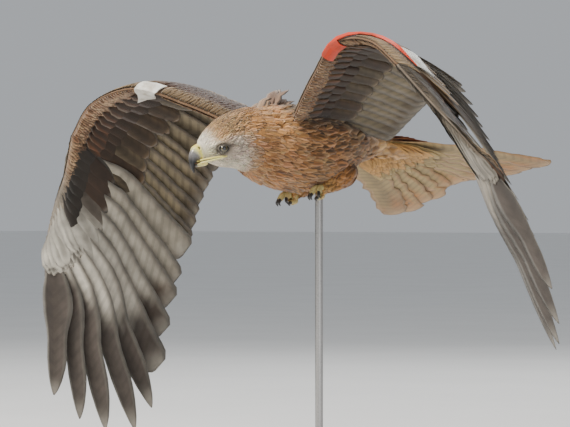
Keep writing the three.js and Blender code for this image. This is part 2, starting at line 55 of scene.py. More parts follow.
Array = np.ndarray
Triple = tuple[float, float, float]
Marks = tuple[Array, Array, Array]
Chance = np.random.Generator
Mesh = bpy.types.Mesh
Piece = bpy.types.Object
Material = bpy.types.Material
Output = bpy.types.NodeSocket

MM = 0.001
BODY_HEIGHT = 405.0
ROD_OFFSET = 8.0
BANK = math.radians(8.0)
HEAD_TURN = math.radians(-20.0)
NECK_PIVOT = np.array([0.0, -135.0, 0.0])
HEAD_ORIGIN = np.array([0.0, -20.0, 0.0])
SAME_PLACE = 1e-4
# Millimetres for a step of one in the barb coordinate.
BARB_UNIT = 100.0


def srgb(red: int, green: int, blue: int) -> Triple:
    """Turn a screen colour, 0 to 255, into scene-linear values."""
    values = np.array([red, green, blue]) / 255.0
    linear = np.where(values <= 0.04045, values / 12.92, ((values + 0.055) / 1.055) ** 2.4)
    return float(linear[0]), float(linear[1]), float(linear[2])


def unit(vectors: Array) -> Array:
    """Return vectors, which lie along the last axis, scaled to length one."""
    length = np.linalg.norm(vectors, axis=-1, keepdims=True)
    return vectors / np.maximum(length, 1e-9)


def smoothstep(values: Array, low: float, high: float) -> Array:
    """Rise smoothly from 0 at low to 1 at high, as 3t squared less 2t cubed."""
    t = np.clip((values - low) / (high - low), 0.0, 1.0)
    return t * t * (3.0 - 2.0 * t)


def joined(*values: Array | float) -> Array:
    """Set grids of values, or one value for all, side by side along a new last axis."""
    return np.stack(np.broadcast_arrays(*values), axis=-1)


def turned_about_z(points: Array, angle: float) -> Array:
    """Turn points about the Z axis.

    Args:
        points: Points along the last axis.
        angle: The turn in radians.

    Returns:
        The turned points.
    """
    c, s = math.cos(angle), math.sin(angle)
    x = points[..., 0] * c - points[..., 1] * s
    y = points[..., 0] * s + points[..., 1] * c
    return joined(x, y, points[..., 2])


def rolled(points: Array, angle: float) -> tuple[Array, Array]:
    """Return the sideways and upward places of points rolled about the line of flight."""
    c, s = math.cos(-angle), math.sin(-angle)
    x, z = points[..., 0], points[..., 2]
    return x * c + z * s, -x * s + z * c


def head_placed(points: Array) -> Array:
    """Place points of the head's own frame in the bird's frame, turned at the neck's pivot."""
    return turned_about_z(points + HEAD_ORIGIN, HEAD_TURN) + NECK_PIVOT


def stand_placed(points: Array) -> Array:
    """Bank points of the bird's frame and lift them on to the stand, in metres."""
    x, z = rolled(points, BANK)
    return joined(x, points[..., 1] - ROD_OFFSET, z + BODY_HEIGHT) * MM


class SmoothCurve:
    """A centripetal Catmull-Rom curve through a few points, worked out for whole arrays."""

    def __init__(self, points: Sequence[Sequence[float]]) -> None:
        """Keep the points, with one mirrored past each end."""
        inner = np.array(points, dtype=float)
        first = 2.0 * inner[0] - inner[1]
        last = 2.0 * inner[-1] - inner[-2]
        self.points = np.vstack([first, inner, last])
        self.spans = len(inner) - 1

    def at(self, t: Array) -> Array:
        """Work out the curve: on each span a cubic whose end slopes come from uneven knots.

        Args:
            t: Places along the curve, 0 to 1.

        Returns:
            The points.
        """
        t = np.clip(np.asarray(t, dtype=float), 0.0, 1.0) * self.spans
        span = np.minimum(t.astype(int), self.spans - 1)
        w = (t - span)[..., None]
        p0, p1, p2, p3 = (self.points[span + k] for k in range(4))
        pairs = ((p0, p1), (p1, p2), (p2, p3))
        knot = [np.sqrt(np.linalg.norm(b - a, axis=-1, keepdims=True)) for a, b in pairs]
        d1 = np.where(knot[1] < SAME_PLACE, 1.0, knot[1])
        d0 = np.where(knot[0] < SAME_PLACE, d1, knot[0])
        d2 = np.where(knot[2] < SAME_PLACE, d1, knot[2])
        m1 = ((p1 - p0) / d0 - (p2 - p0) / (d0 + d1) + (p2 - p1) / d1) * d1
        m2 = ((p2 - p1) / d1 - (p3 - p1) / (d1 + d2) + (p3 - p2) / d2) * d1
        square = -3.0 * p1 + 3.0 * p2 - 2.0 * m1 - m2
        cube = 2.0 * p1 - 2.0 * p2 + m1 + m2
        return p1 + m1 * w + square * w**2 + cube * w**3

    def change(self, t: Array, step: float) -> Array:
        """Return how the curve moves from a step before t to a step past it, kept on the curve."""
        return self.at(np.minimum(t + step, 1.0)) - self.at(np.maximum(t - step, 0.0))

    def heading(self, t: Array) -> Array:
        """Return the unit direction of the curve at t."""
        return unit(self.change(np.asarray(t, dtype=float), 1e-3))


def smooth_values(values: Sequence[float]) -> Callable[[Array], Array]:
    """Return a smooth function of 0 to 1 through a few values at even steps."""
    curve = SmoothCurve([(value, 0.0, 0.0) for value in values])
    return lambda t: curve.at(t)[..., 0]


class Spine:
    """The body's line from the bill's root to the tail's root, with its half widths and heights."""

    RINGS: tuple[tuple[Triple, float, float], ...] = (
        ((0, -38, -4), 8.5, 11.5),
        ((0, -28, 0), 16.5, 20),
        ((0, -14, 4), 23.5, 28),
        ((0, 8, 9), 28.5, 35.5),
        ((0, 28, 9), 33, 42),
        ((0, -102, 5), 42, 47),
        ((0, -70, 2), 52, 53),
        ((0, -32, 0), 58, 56),
        ((0, 8, 2), 56, 51),
        ((0, 46, 6), 44, 38),
        ((0, 78, 8), 33, 25),
        ((0, 108, 7), 26, 13),
        ((0, 134, 4), 21, 6),
    )
    HEAD_RINGS = 5
    LAST = len(RINGS) - 1

    def __init__(self) -> None:
        """Place the head's rings and run smooth curves through all of them."""
        centres = [np.array(ring[0], dtype=float) for ring in self.RINGS]
        for i in range(self.HEAD_RINGS):
            centres[i] = head_placed(centres[i])
        self.line = SmoothCurve(centres)
        self.wide = smooth_values([ring[1] for ring in self.RINGS])
        self.tall = smooth_values([ring[2] for ring in self.RINGS])

    def speed(self, t: Array) -> Array:
        """Return how many millimetres of the spine go by for a step of one in t."""
        step = 2e-3
        return np.linalg.norm(self.line.change(t, step), axis=-1) / (2 * step)

    def point(self, t: Array, angle: Array, inset: Array | float = 0.0) -> Array:
        """Work out the body's surface: an ellipse square to the line, shrunk by the inset.

        Args:
            t: Places along the spine.
            angle: Angles round it, 0 on the left side and a quarter turn on the back.
            inset: How far inside the outer form, in millimetres.

        Returns:
            The surface points.
        """
        heading = self.line.heading(t)
        up = unit(np.cross(heading, np.array([1.0, 0.0, 0.0])))
        across = unit(np.cross(up, heading))
        sideways = (np.cos(angle) * (self.wide(t) - inset))[..., None] * across
        upward = (np.sin(angle) * (self.tall(t) - inset))[..., None] * up
        return self.line.at(t) + sideways - upward

    def normal(self, t: Array, angle: Array) -> Array:
        """Return the outward direction of the surface, from its two slopes.

        Args:
            t: Places along the spine.
            angle: Angles round it.

        Returns:
            The unit directions.
        """
        step_t, step_a = 2e-3, 2e-2
        after, before = np.minimum(t + step_t, 1.0), np.maximum(t - step_t, 0.0)
        along = self.point(after, angle) - self.point(before, angle)
        round_it = self.point(t, angle + step_a) - self.point(t, angle - step_a)
        face = unit(np.cross(along, round_it))
        outward = self.point(t, angle) - self.line.at(t)
        flip = np.sign(np.sum(face * outward, axis=-1, keepdims=True))
        return face * np.where(flip == 0, 1.0, flip)


class WingStretch:
    """A stretch of the left wing between its leading edge and the line of its feather tips."""

    def __init__(
        self, lead: Sequence, tips: Sequence, arch: float, thick: float, rear: float
    ) -> None:
        """Run smooth curves through the leading edge and the tips.

        Args:
            lead: Points of the leading edge, from the inner end outward.
            tips: Points of the line of feather tips.
            arch: How far the middle surface is lifted over the flat.
            thick: Half the front's thickness at its inner end.
            rear: Where the fleshy front ends, as a share of the chord.
        """
        self.lead = SmoothCurve(lead)
        self.tips = SmoothCurve(tips)
        self.arch = arch
        self.thick = thick
        self.rear = rear

    def flat(self, t: Array, share: Array | float) -> Array:
        """Return the point a share of the way from the leading edge to the tips, unarched."""
        share = np.broadcast_to(np.asarray(share, dtype=float), np.shape(t))[..., None]
        return self.lead.at(t) * (1.0 - share) + self.tips.at(t) * share

    def outer(self, t: Array, share: Array | float) -> Array:
        """Return the unit direction towards the wing's tip at t and share."""
        after, before = np.minimum(t + 0.03, 1.0), np.maximum(t - 0.03, 0.0)
        return unit(self.flat(after, share) - self.flat(before, share))

    def normal(self, t: Array, share: float = 0.3) -> Array:
        """Return the unit direction out of the wing's back."""
        chord = self.tips.at(t) - self.lead.at(t)
        return unit(np.cross(self.outer(t, share), chord))

    def point(self, t: Array, share: Array | float) -> Array:
        """Work out the middle surface: the flat point lifted by a half sine that dies away."""
        share = np.broadcast_to(np.asarray(share, dtype=float), np.shape(t))
        lift = self.arch * np.sin(np.pi * np.clip(share, 0, 1)) * (1.0 - share)
        return self.flat(t, share) + self.normal(t) * lift[..., None]

    def half(self, t: Array, u: Array) -> Array:
        """Return half the front's thickness: rounded at the nose, thinning outward and backward."""
        nose = np.sqrt(np.minimum(1.0, u * 5.0 + 0.12))
        return self.thick * (1.0 - 0.35 * t) * nose * np.maximum(0.2, 1.0 - 0.72 * u)


WRIST = (267.0, -155.0, 56.0)
ARM = WingStretch(
    [(44, -86, 32), (106, -115, 71), (167, -141, 100), (230, -154, 90), WRIST],
    [(62, 92, 14), (108, 92, 40), (158, 85, 60), (230, 45, -13), (272, 36, -90)],
    arch=26.0,
    thick=11.0,
    rear=0.44,
)
HAND_LEAD = [WRIST, (297, -144, 12), (324, -139, -22), (350, -129, -62)]
HAND_TIPS = [
    (272, 36, -90), (301, 26, -147), (321, 14, -212),
    (336, -4, -298), (381, -52, -288), (420, -118, -205),
]
HAND_TIP_LIFT = {"LEFT": 20.0, "RIGHT": -24.0}
SPINE = Spine()


class Hue(Enum):
    """The plumage's and the other surfaces' colours, scene-linear; OLIVE and TAIL_UNDER carry some
    painted light too.
    """

    FOREHEAD = srgb(238, 228, 208)
    CROWN = srgb(190, 150, 102)
    CHEEK = srgb(206, 190, 172)
    THROAT = srgb(222, 210, 188)
    NAPE = srgb(216, 154, 88)
    NECK_SIDE = srgb(196, 136, 82)
    BREAST = srgb(174, 120, 70)
    BELLY = srgb(154, 108, 62)
    VENT = srgb(200, 152, 88)
    BACK = srgb(96, 70, 52)
    MAUVE = srgb(98, 72, 62)
    RUFOUS = srgb(142, 86, 50)
    BUFF = srgb(216, 182, 138)
    UMBER = srgb(58, 42, 30)
    SOOT = srgb(40, 34, 29)
    FINGER = srgb(72, 64, 58)
    GREY = srgb(132, 122, 108)
    # Grey brown of the flight feathers' undersides, darkened a little as painted shade.
    OLIVE = srgb(128, 116, 92)
    PALE = srgb(206, 200, 186)
    TAIL = srgb(178, 92, 40)
    # Pale tawny underside tilted to olive: own colour plus painted green bounce light.
    TAIL_UNDER = srgb(178, 152, 100)
    TAIL_TIP = srgb(194, 134, 74)
    WHITE = srgb(240, 236, 228)

    def __mul__(self, share: float | Array) -> Array:
        """Return the colour scaled by a share, or by one for each point."""
        return np.array(self.value) * share


Paint = Hue | Triple | Array


def rgb(colour: Paint) -> Array:
    """Return a named colour, or one as numbers, as an array."""
    return np.asarray(colour.value if isinstance(colour, Hue) else colour)


def blend(first: Paint, second: Paint, weight: Array | float) -> Array:
    """Mix two colours by a weight for each point, 0 for the first and 1 for the second."""
    w = np.clip(np.asarray(weight, dtype=float), 0.0, 1.0)[..., None]
    return rgb(first) * (1.0 - w) + rgb(second) * w


class Side(Enum):
    """The bird's two sides: the left is built and the right is its mirror image."""

    LEFT = 1.0
    RIGHT = -1.0

    @property
    def word(self) -> str:
        """Return the side's name in lower case."""
        return self.name.lower()

    def hand(self) -> WingStretch:
        """Return the hand, whose line of tips is lifted more and more towards the wing's end."""
        lift = HAND_TIP_LIFT[self.name]
        last = len(HAND_TIPS) - 1
        tips = [(x, y, z + lift * i / last) for i, (x, y, z) in enumerate(HAND_TIPS)]
        return WingStretch(HAND_LEAD, tips, arch=16.0, thick=8.0, rear=0.30)


@dataclass
class MeshParts:
    """Points, faces and point attributes that are gathered before they become one mesh."""

    points: list[Array] = field(default_factory=list)
    faces: list[Array] = field(default_factory=list)
    tint: list[Array] = field(default_factory=list)
    fringe: list[Array] = field(default_factory=list)
    vane: list[Array] = field(default_factory=list)
    bake: list[Array] = field(default_factory=list)
    count: int = 0

    def add(
        self, points: Array, faces: Array, tint: Array, fringe: Array, vane: Array, bake: Array
    ) -> None:
        """Add a block of points with their faces and attributes.

        Args:
            points: The points, in the bird's frame.
            faces: Four point numbers a face.
            tint: Base colour, with the shaft streak's strength as the fourth value.
            fringe: Edge colour, with the fringe's strength as the fourth value.
            vane: Place across, place along, barb coordinate and bar strength.
            bake: Place on the export's map.
        """
        self.points.append(points.reshape(-1, 3))
        self.faces.append(faces.reshape(-1, 4) + self.count)
        for store, values in ((self.tint, tint), (self.fringe, fringe), (self.vane, vane)):
            store.append(values.reshape(-1, 4))
        self.bake.append(bake.reshape(-1, 2))
        self.count += len(self.points[-1])

    def add_plain(
        self, points: Array, colour: Array, t: Array, bake: Array,
        edge: Array | None = None, faces: Array | None = None,
    ) -> None:
        """Add a grid that is no feather: across at the middle of the vane, along as t, no marks.

        Args:
            points: Rows of rings of points, in the bird's frame.
            colour: Triple of each point.
            t: Place along of each point.
            bake: Place on the export's map.
            edge: Edge colour, the same as the colour where it is left out.
            faces: Four point numbers a face, worked out from the rings where they are left out.
        """
        if faces is None:
            faces = grid_faces(*points.shape[:2], wrap=True)
        vane = joined(0.5, 0.5, t, 0.0)
        fringe = four(colour if edge is None else edge, 0.0, t.shape)
        self.add(points, faces, four(colour, 0.0, t.shape), fringe, vane, bake)

    def add_tube(self, points: Array, t: Array, angle: Array, colour: Paint) -> None:
        """Add a grid of points round a tube, closed at both ends.

        Args:
            points: Rows of rings.
            t: Places along.
            angle: Angles round.
            colour: One colour, or one for each point.
        """
        colour = np.broadcast_to(rgb(colour), points.shape)
        points, (t, angle, colour) = closed_grid(points, [t, angle, colour])
        place = joined(np.clip(t, 0, 1), np.mod(angle / (2 * np.pi), 1.0))
        self.add_plain(points, colour, t, place)

    def build(
        self, name: str, nodes: Sequence[str] = (), side: Side = Side.LEFT, closed: bool = False
    ) -> Piece:
        """Make one object of everything that was added, placed on the stand.

        Args:
            name: The object's name.
            nodes: The frame's nodes that it takes the place of.
            side: The right side is mirrored, and its faces are turned round.
            closed: Whether doubled points are merged and every face is turned outward.

        Returns:
            The object.
        """
        points = np.concatenate(self.points)
        faces = np.concatenate(self.faces)
        if side is Side.RIGHT:
            points = points * np.array([-1.0, 1.0, 1.0])
            faces = faces[:, ::-1]
        mesh = mesh_from_arrays(name, stand_placed(points), faces)
        put_colours(mesh, "Tint", np.concatenate(self.tint))
        put_colours(mesh, "Fringe", np.concatenate(self.fringe))
        put_colours(mesh, "Vane", np.concatenate(self.vane))
        put_bake_map(mesh, np.concatenate(self.bake))
        if closed:
            close_mesh(mesh)
        piece = linked(name, mesh)
        if nodes:
            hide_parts(*nodes)
        return piece


def close_mesh(mesh: Mesh) -> None:
    """Merge a mesh's doubled points and turn every face outward."""
    shell = bmesh.new()
    shell.from_mesh(mesh)
    bmesh.ops.remove_doubles(shell, verts=shell.verts, dist=1e-6)
    bmesh.ops.dissolve_degenerate(shell, edges=shell.edges, dist=1e-7)
    bmesh.ops.recalc_face_normals(shell, faces=shell.faces)
    shell.to_mesh(mesh)
    shell.free()


def mesh_from_arrays(name: str, points: Array, faces: Array) -> Mesh:
    """Put points and four-cornered faces into a smooth mesh.

    Args:
        name: The mesh's name.
        points: The points, in metres.
        faces: Four point numbers a face.

    Returns:
        The mesh.
    """
    mesh = bpy.data.meshes.new(name)
    mesh.vertices.add(len(points))
    mesh.vertices.foreach_set("co", points.astype(np.float32).ravel())
    mesh.loops.add(faces.size)
    mesh.loops.foreach_set("vertex_index", faces.astype(np.int32).ravel())
    mesh.polygons.add(len(faces))
    mesh.polygons.foreach_set("loop_start", np.arange(0, faces.size, 4, dtype=np.int32))
    mesh.update(calc_edges=True)
    mesh.polygons.foreach_set("use_smooth", np.ones(len(faces), dtype=bool))
    mesh.validate()
    mesh.update()
    return mesh


def put_colours(mesh: Mesh, name: str, values: Array) -> None:
    """Store four values a point as a named attribute."""
    layer = mesh.attributes.new(name, "FLOAT_COLOR", "POINT")
    layer.data.foreach_set("color", values.astype(np.float32).ravel())


def put_bake_map(mesh: Mesh, places: Array) -> None:
    """Store each point's place on the export's map, on every corner that uses it.

    Args:
        mesh: The mesh.
        places: Two values for each point, 0 to 1.
    """
    layer = mesh.uv_layers.new(name="OFBake")
    corners = np.empty(len(mesh.loops), dtype=np.int32)
    mesh.loops.foreach_get("vertex_index", corners)
    layer.data.foreach_set("uv", np.clip(places, 0, 1)[corners].astype(np.float32).ravel())


def linked(name: str, mesh: Mesh) -> Piece:
    """Make an object of a mesh, link it into the scene and return it."""
    piece = bpy.data.objects.new(name, mesh)
    bpy.context.scene.collection.objects.link(piece)
    return piece


def grid_faces(rows: int, columns: int, wrap: bool = False) -> Array:
    """Number the quads of a grid of points, row by row.

    Args:
        rows: Points along the first parameter.
        columns: Points along the second.
        wrap: Whether the last column joins the first.

    Returns:
        Four point numbers a face.
    """
    i = np.arange(rows - 1)[:, None]
    j = np.arange(columns if wrap else columns - 1)[None, :]
    k = (j + 1) % columns
    quads = [i * columns + j, i * columns + k, (i + 1) * columns + k, (i + 1) * columns + j]
    return np.stack(quads, axis=-1).reshape(-1, 4)


def closed_grid(points: Array, values: Sequence[Array]) -> tuple[Array, list[Array]]:
    """Close a grid's two open ends with rings shrunk to their centres.

    Args:
        points: Rows of rings of points.
        values: Grids that go with the points.

    Returns:
        The longer grids.
    """
    start = np.broadcast_to(points[:1].mean(axis=1, keepdims=True), points[:1].shape)
    end = np.broadcast_to(points[-1:].mean(axis=1, keepdims=True), points[-1:].shape)
    longer = [np.concatenate([grid[:1], grid, grid[-1:]]) for grid in values]
    return np.concatenate([start, points, end]), longer


def tube_grid(
    rows: int, columns: int, start: float = 0.0, stop: float = 1.0
) -> tuple[Array, Array]:
    """Return a grid of places along and angles round."""
    t = np.linspace(start, stop, rows)[:, None] * np.ones((1, columns))
    angle = np.ones((rows, 1)) * np.linspace(0, 2 * np.pi, columns, endpoint=False)[None]
    return t, angle


# Keeps a feather's end from closing to a point.
BLUNT_TIP = 0.012


@dataclass(frozen=True)
class VaneForm:
    """The outline and section of one kind of feather.

    Attributes:
        rows: Points along it.
        columns: Points across it.
        thick: Thickness at the shaft, in millimetres.
        shoulder: Where along it the tip starts to round off.
        root_width: Width at the root, as a share of the full width.
        camber: How far the edges drop, as a share of the half width.
        lean: How much narrower the outer web is than the inner one.
        notch: How much narrower the outer part of a finger feather is.
        point: How pointed the tip is: 1 is round.
        ragged: How uneven the outline is, as a share of the half width.
    """

    rows: int = 5
    columns: int = 3
    thick: float = 0.5
    shoulder: float = 0.55
    root_width: float = 0.3
    camber: float = 0.25
    lean: float = 0.0
    notch: float = 0.0
    point: float = 1.0
    ragged: float = 0.08

    def breadth(self, v: Array) -> Array:
        """Return the outline: widening from the root, then rounded off as a quarter ellipse."""
        grown = self.root_width + (1.0 - self.root_width) * smoothstep(v, 0.0, 0.34)
        over = np.clip((v - self.shoulder) / (1.0 - self.shoulder), 0.0, 1.0)
        finger = 1.0 - self.notch * smoothstep(v, 0.38, 0.62)
        end = np.maximum(1.0 - over ** (2.0 / self.point), BLUNT_TIP)
        return grown * finger * end ** (0.5 * self.point)

    def places(self) -> tuple[Array, Array]:
        """Return the grid's places along (0 to 1, closer at the tip) and across (-1 to 1)."""
        along = 1.0 - (1.0 - np.linspace(0.0, 1.0, self.rows)) ** 1.25
        return along, np.linspace(-1.0, 1.0, self.columns)

    def faces(self) -> Array:
        """Number the faces of a closed lens: both layers share the rim's points."""
        rows, columns = self.rows, self.columns
        top = grid_faces(rows, columns)
        under = np.arange(rows * columns).reshape(rows, columns)
        inner = (rows - 2) * (columns - 2)
        under[1:-1, 1:-1] = rows * columns + np.arange(inner).reshape(rows - 2, columns - 2)
        return np.concatenate([top, under.ravel()[top][:, ::-1]])


@dataclass
class VaneSet:
    """Many feathers of one form, a row for each, in the bird's frame; one number goes for all.

    Attributes:
        root: Where each is rooted.
        tip: Where each ends.
        normal: The outward direction at each.
        width: Full widths.
        bow: How far the middle stands off the straight line, outward.
        curl: How far the tip bends inward again.
        place: Place of each root on the unwrapped skin, 0 to 1.
        twist: Turn about the shaft, which shingles neighbours.
    """

    root: Array
    tip: Array
    normal: Array
    width: Array | float
    bow: Array | float
    curl: Array | float
    place: Array
    twist: Array | float

    def grown(self, form: VaneForm, rng: Chance) -> tuple[Array, Array, Array, Array]:
        """Work out every feather's points at once.

        A point is root + shaft * v + normal * bow * sin(pi v) - normal * curl * v cubed, then
        across the shaft by the half width, less the camber as the square of the place across.

        Args:
            form: The feathers' form.
            rng: Where the ragged edges come from.

        Returns:
            Points, place along, place across and barb coordinate, a row for each feather.
        """
        along, across = form.places()
        v = along[None, :, None]
        u = across[None, None, :]
        count = len(self.root)
        shaft = self.tip - self.root
        length = np.linalg.norm(shaft, axis=-1)
        heading = unit(shaft)
        face = unit(self.normal - heading * np.sum(self.normal * heading, axis=-1, keepdims=True))
        sideways = np.cross(heading, face)
        sizes = (self.width, self.bow, self.curl, self.twist)
        width, bow, curl, twist = (np.broadcast_to(size, (count,))[:, None] for size in sizes)
        c, s = np.cos(twist), np.sin(twist)
        sideways, face = sideways * c + face * s, face * c - sideways * s
        outline = form.breadth(along) * width * 0.5
        edge = 1.0 + form.ragged * rng.standard_normal((count, form.rows, 2))
        edge[:, [0, -1], :] = 1.0
        left = outline * edge[..., 0] * (1.0 + form.lean)
        right = outline * edge[..., 1] * (1.0 - form.lean)
        half = np.where(u < 0, left[..., None], right[..., None])
        offset = u * half
        lift = bow[..., None] * np.sin(np.pi * v) - curl[..., None] * v**3
        drop = form.camber * u**2 * np.abs(half)
        sideways, face = sideways[:, None, None, :], face[:, None, None, :]
        middle = self.root[:, None, None, :] + shaft[:, None, None, :] * v[..., None]
        middle = middle + sideways * offset[..., None] + face * (lift - drop)[..., None]
        shape = (count, form.rows, form.columns)
        body = form.thick * 0.5 * (1.0 - u**2) * np.sin(np.pi * np.clip(v, 0.03, 0.97)) ** 0.4
        body = face * np.broadcast_to(body, shape)[..., None]
        barb = (v * length[:, None, None] + np.abs(offset)) / BARB_UNIT
        grids = [np.broadcast_to(v, shape), np.broadcast_to(u, shape), barb]
        flat = [g.reshape(count, -1) for g in grids]
        inner = [g[:, 1:-1, 1:-1].reshape(count, -1) for g in grids]
        top = (middle + body).reshape(count, -1, 3)
        under = (middle - body)[:, 1:-1, 1:-1].reshape(count, -1, 3)
        points = np.concatenate([top, under], axis=1)
        v_all, u_all, barb_all = (np.concatenate([a, b], axis=1) for a, b in zip(flat, inner))
        return points, v_all, u_all, barb_all


# How large one feather is on the export's map.
MAP_PATCH = 0.003
# How much of the upper side's colour the rim takes.
RIM_SHARE = 0.6
Painter = Callable[[Array, Array, Array], Marks]


def add_vanes(
    parts: MeshParts, vanes: VaneSet, form: VaneForm, paint: Painter, rng: Chance
) -> None:
    """Grow a set of feathers into a mesh's parts.

    Args:
        parts: Where they are added.
        vanes: The feathers.
        form: Their form.
        paint: Gives base colour and streak, fringe colour and strength, and bar strength, from the
            feather's number, the place along and the place across.
        rng: Where small differences come from.
    """
    points, v, u, barb = vanes.grown(form, rng)
    count, size = v.shape
    number = np.broadcast_to(np.arange(count)[:, None], v.shape)
    tint, fringe, bars = paint(number, v, u)
    vane = joined(u * 0.5 + 0.5, v, barb, bars)
    spot = joined(u * 0.5, v - 0.5) * MAP_PATCH
    bake = vanes.place[:, None, :] * 0.98 + 0.01 + spot
    faces = form.faces()[None] + (np.arange(count) * size)[:, None, None]
    parts.add(points, faces, tint, fringe, vane, bake)


def above(form: VaneForm, v: Array, u: Array) -> Array:
    """Return the upper colour's share: 1 on the upper layer, less on the rim that both share."""
    layer = np.arange(v.shape[1]) < form.rows * form.columns
    rim = (np.abs(u) >= 0.99) | (v >= 0.999)
    return np.where(rim, RIM_SHARE, 1.0) * layer


def four(colour: Paint, strength: Array | float, shape: tuple[int, ...]) -> Array:
    """Join a colour, or one for each point, and a strength into four values a point."""
    full = np.broadcast_to(rgb(colour), shape + (3,))
    extra = np.broadcast_to(np.asarray(strength, dtype=float), shape)
    return np.concatenate([full, extra[..., None]], axis=-1)


def root_shade(v: Array, least: float = 0.6) -> Array:
    """Return how light a feather is along its length, darkest at its hidden root."""
    return (least + (1.0 - least) * smoothstep(v, 0.1, 0.6))[..., None]


def plain_paint(
    each: Array, edge: Paint, streak: float, fringe: float, bars: float = 0.0, least: float = 0.6
) -> Painter:
    """Return markings of one colour a feather, with a dark shaft and an edge of its own colour.

    Args:
        each: Base colours, one a feather.
        edge: Edge colour, one for all or one a feather.
        streak: The shaft streak's strength.
        fringe: The edge's strength.
        bars: The bars' strength.
        least: How light the hidden root is.

    Returns:
        What add_vanes asks for colours.
    """
    edges = np.broadcast_to(rgb(edge), each.shape)

    def paint(number: Array, v: Array, u: Array) -> Marks:
        """Darken the root and keep each feather's own colour."""
        tint = four(each[number] * root_shade(v, least), streak, v.shape)
        return tint, four(edges[number], fringe, v.shape), np.full_like(v, bars)

    return paint


# How far a feather is turned about its shaft to lie over its neighbour.
SHINGLE = math.radians(7.0)


def body_colour(ring: Array, angle: Array) -> Marks:
    """Give the plumage's markings at a place on the body.

    Args:
        ring: Place along the spine, as a ring's number.
        angle: Angle round it, a quarter turn on the back and minus a quarter turn on the belly.

    Returns:
        Base colour, the dark streak's strength, and the edge colour.
    """
    height = np.sin(angle)
    face = blend(Hue.CHEEK, Hue.CROWN, smoothstep(height, -0.02, 0.30))
    face = blend(face, Hue.THROAT, smoothstep(-height, 0.45, 0.9))
    mask = 1.6 - 0.5 * smoothstep(-height, 0.0, 0.5)
    face = blend(Hue.FOREHEAD, face, smoothstep(ring, 0.4, mask))
    nape = blend(Hue.NECK_SIDE, Hue.NAPE, smoothstep(height, -0.5, 0.5))
    nape = blend(nape, Hue.BREAST, smoothstep(-height, 0.3, 0.8) * 0.75)
    under = blend(Hue.BREAST, Hue.BELLY, smoothstep(ring, 7.0, 9.0))
    under = blend(under, Hue.VENT, smoothstep(ring, 9.0, 10.4))
    back = blend(Hue.BACK, Hue.RUFOUS, smoothstep(ring, 8.8, 10.6))
    trunk = blend(under, back, smoothstep(height, 0.15, 0.6))
    colour = blend(face, nape, smoothstep(ring, 2.5 + 0.4 * smoothstep(-height, 0.0, 0.8), 3.8))
    colour = blend(colour, trunk, smoothstep(ring, 4.7, 6.0))
    streak = 0.2 + 0.32 * smoothstep(ring, 1.2, 3.5) + 0.14 * smoothstep(ring, 4.5, 6.5)
    streak = streak + 0.55 * bell(joined(ring, height), (2.4, 0.8), (1.3, 0.8))
    streak = streak * (1.0 - 0.45 * smoothstep(ring, 8.5, 10.0))
    edge = blend(colour * 1.35 + 0.02, Hue.BUFF, 0.35 * smoothstep(ring, 3.5, 5.5))
    return colour, streak, edge


def head_local(points: Array) -> Array:
    """Return points of the bird's frame in the head's own, its right side folded on to the left."""
    local = turned_about_z(points - NECK_PIVOT, -HEAD_TURN) - HEAD_ORIGIN
    return joined(np.abs(local[..., 0]), local[..., 1], local[..., 2])


def bell(points: Array, centre: Triple, reach: Triple, power: float = 1.0) -> Array:
    """Return a bell round a centre: 1 there, dying away with the square of the distance."""
    return np.exp(-np.sum(((points - np.array(centre)) / np.array(reach)) ** 2, axis=-1) ** power)


def face_marks(points: Array, colour: Array) -> Array:
    """Add dusky eye skin, pale brow, ear and lores, and paint the brow's shadow behind the eye.

    Args:
        points: Points in the bird's frame.
        colour: Their colours so far.

    Returns:
        The marked colours.
    """
    local = head_local(points)
    # line: painted shadow of the brow on the skin behind the eye.
    line = bell(local, (23.0, -5.0, 0.0), (12.0, 14.0, 2.0))
    dusk = bell(local, (20.5, -18.5, -3.5), (12.0, 10.5, 6.6), 1.4)
    brow = bell(local, (18.0, -22.0, 5.4), (9.0, 8.0, 1.8))
    lore = bell(local, (12.0, -31.0, -6.0), (10.0, 9.0, 9.0), 1.5)
    ear = bell(local, (26.0, 4.0, -8.0), (14.0, 15.0, 11.0), 1.3)
    colour = blend(colour, srgb(204, 184, 166), 0.75 * ear)
    colour = blend(colour, srgb(226, 218, 176), 0.8 * lore)
    # Paint the brow's shadow behind the eye.
    colour = blend(colour, srgb(84, 74, 62), 0.85 * line)
    colour = blend(colour, srgb(66, 60, 52), 0.85 * dusk)
    return blend(colour, srgb(236, 224, 200), 0.6 * brow)


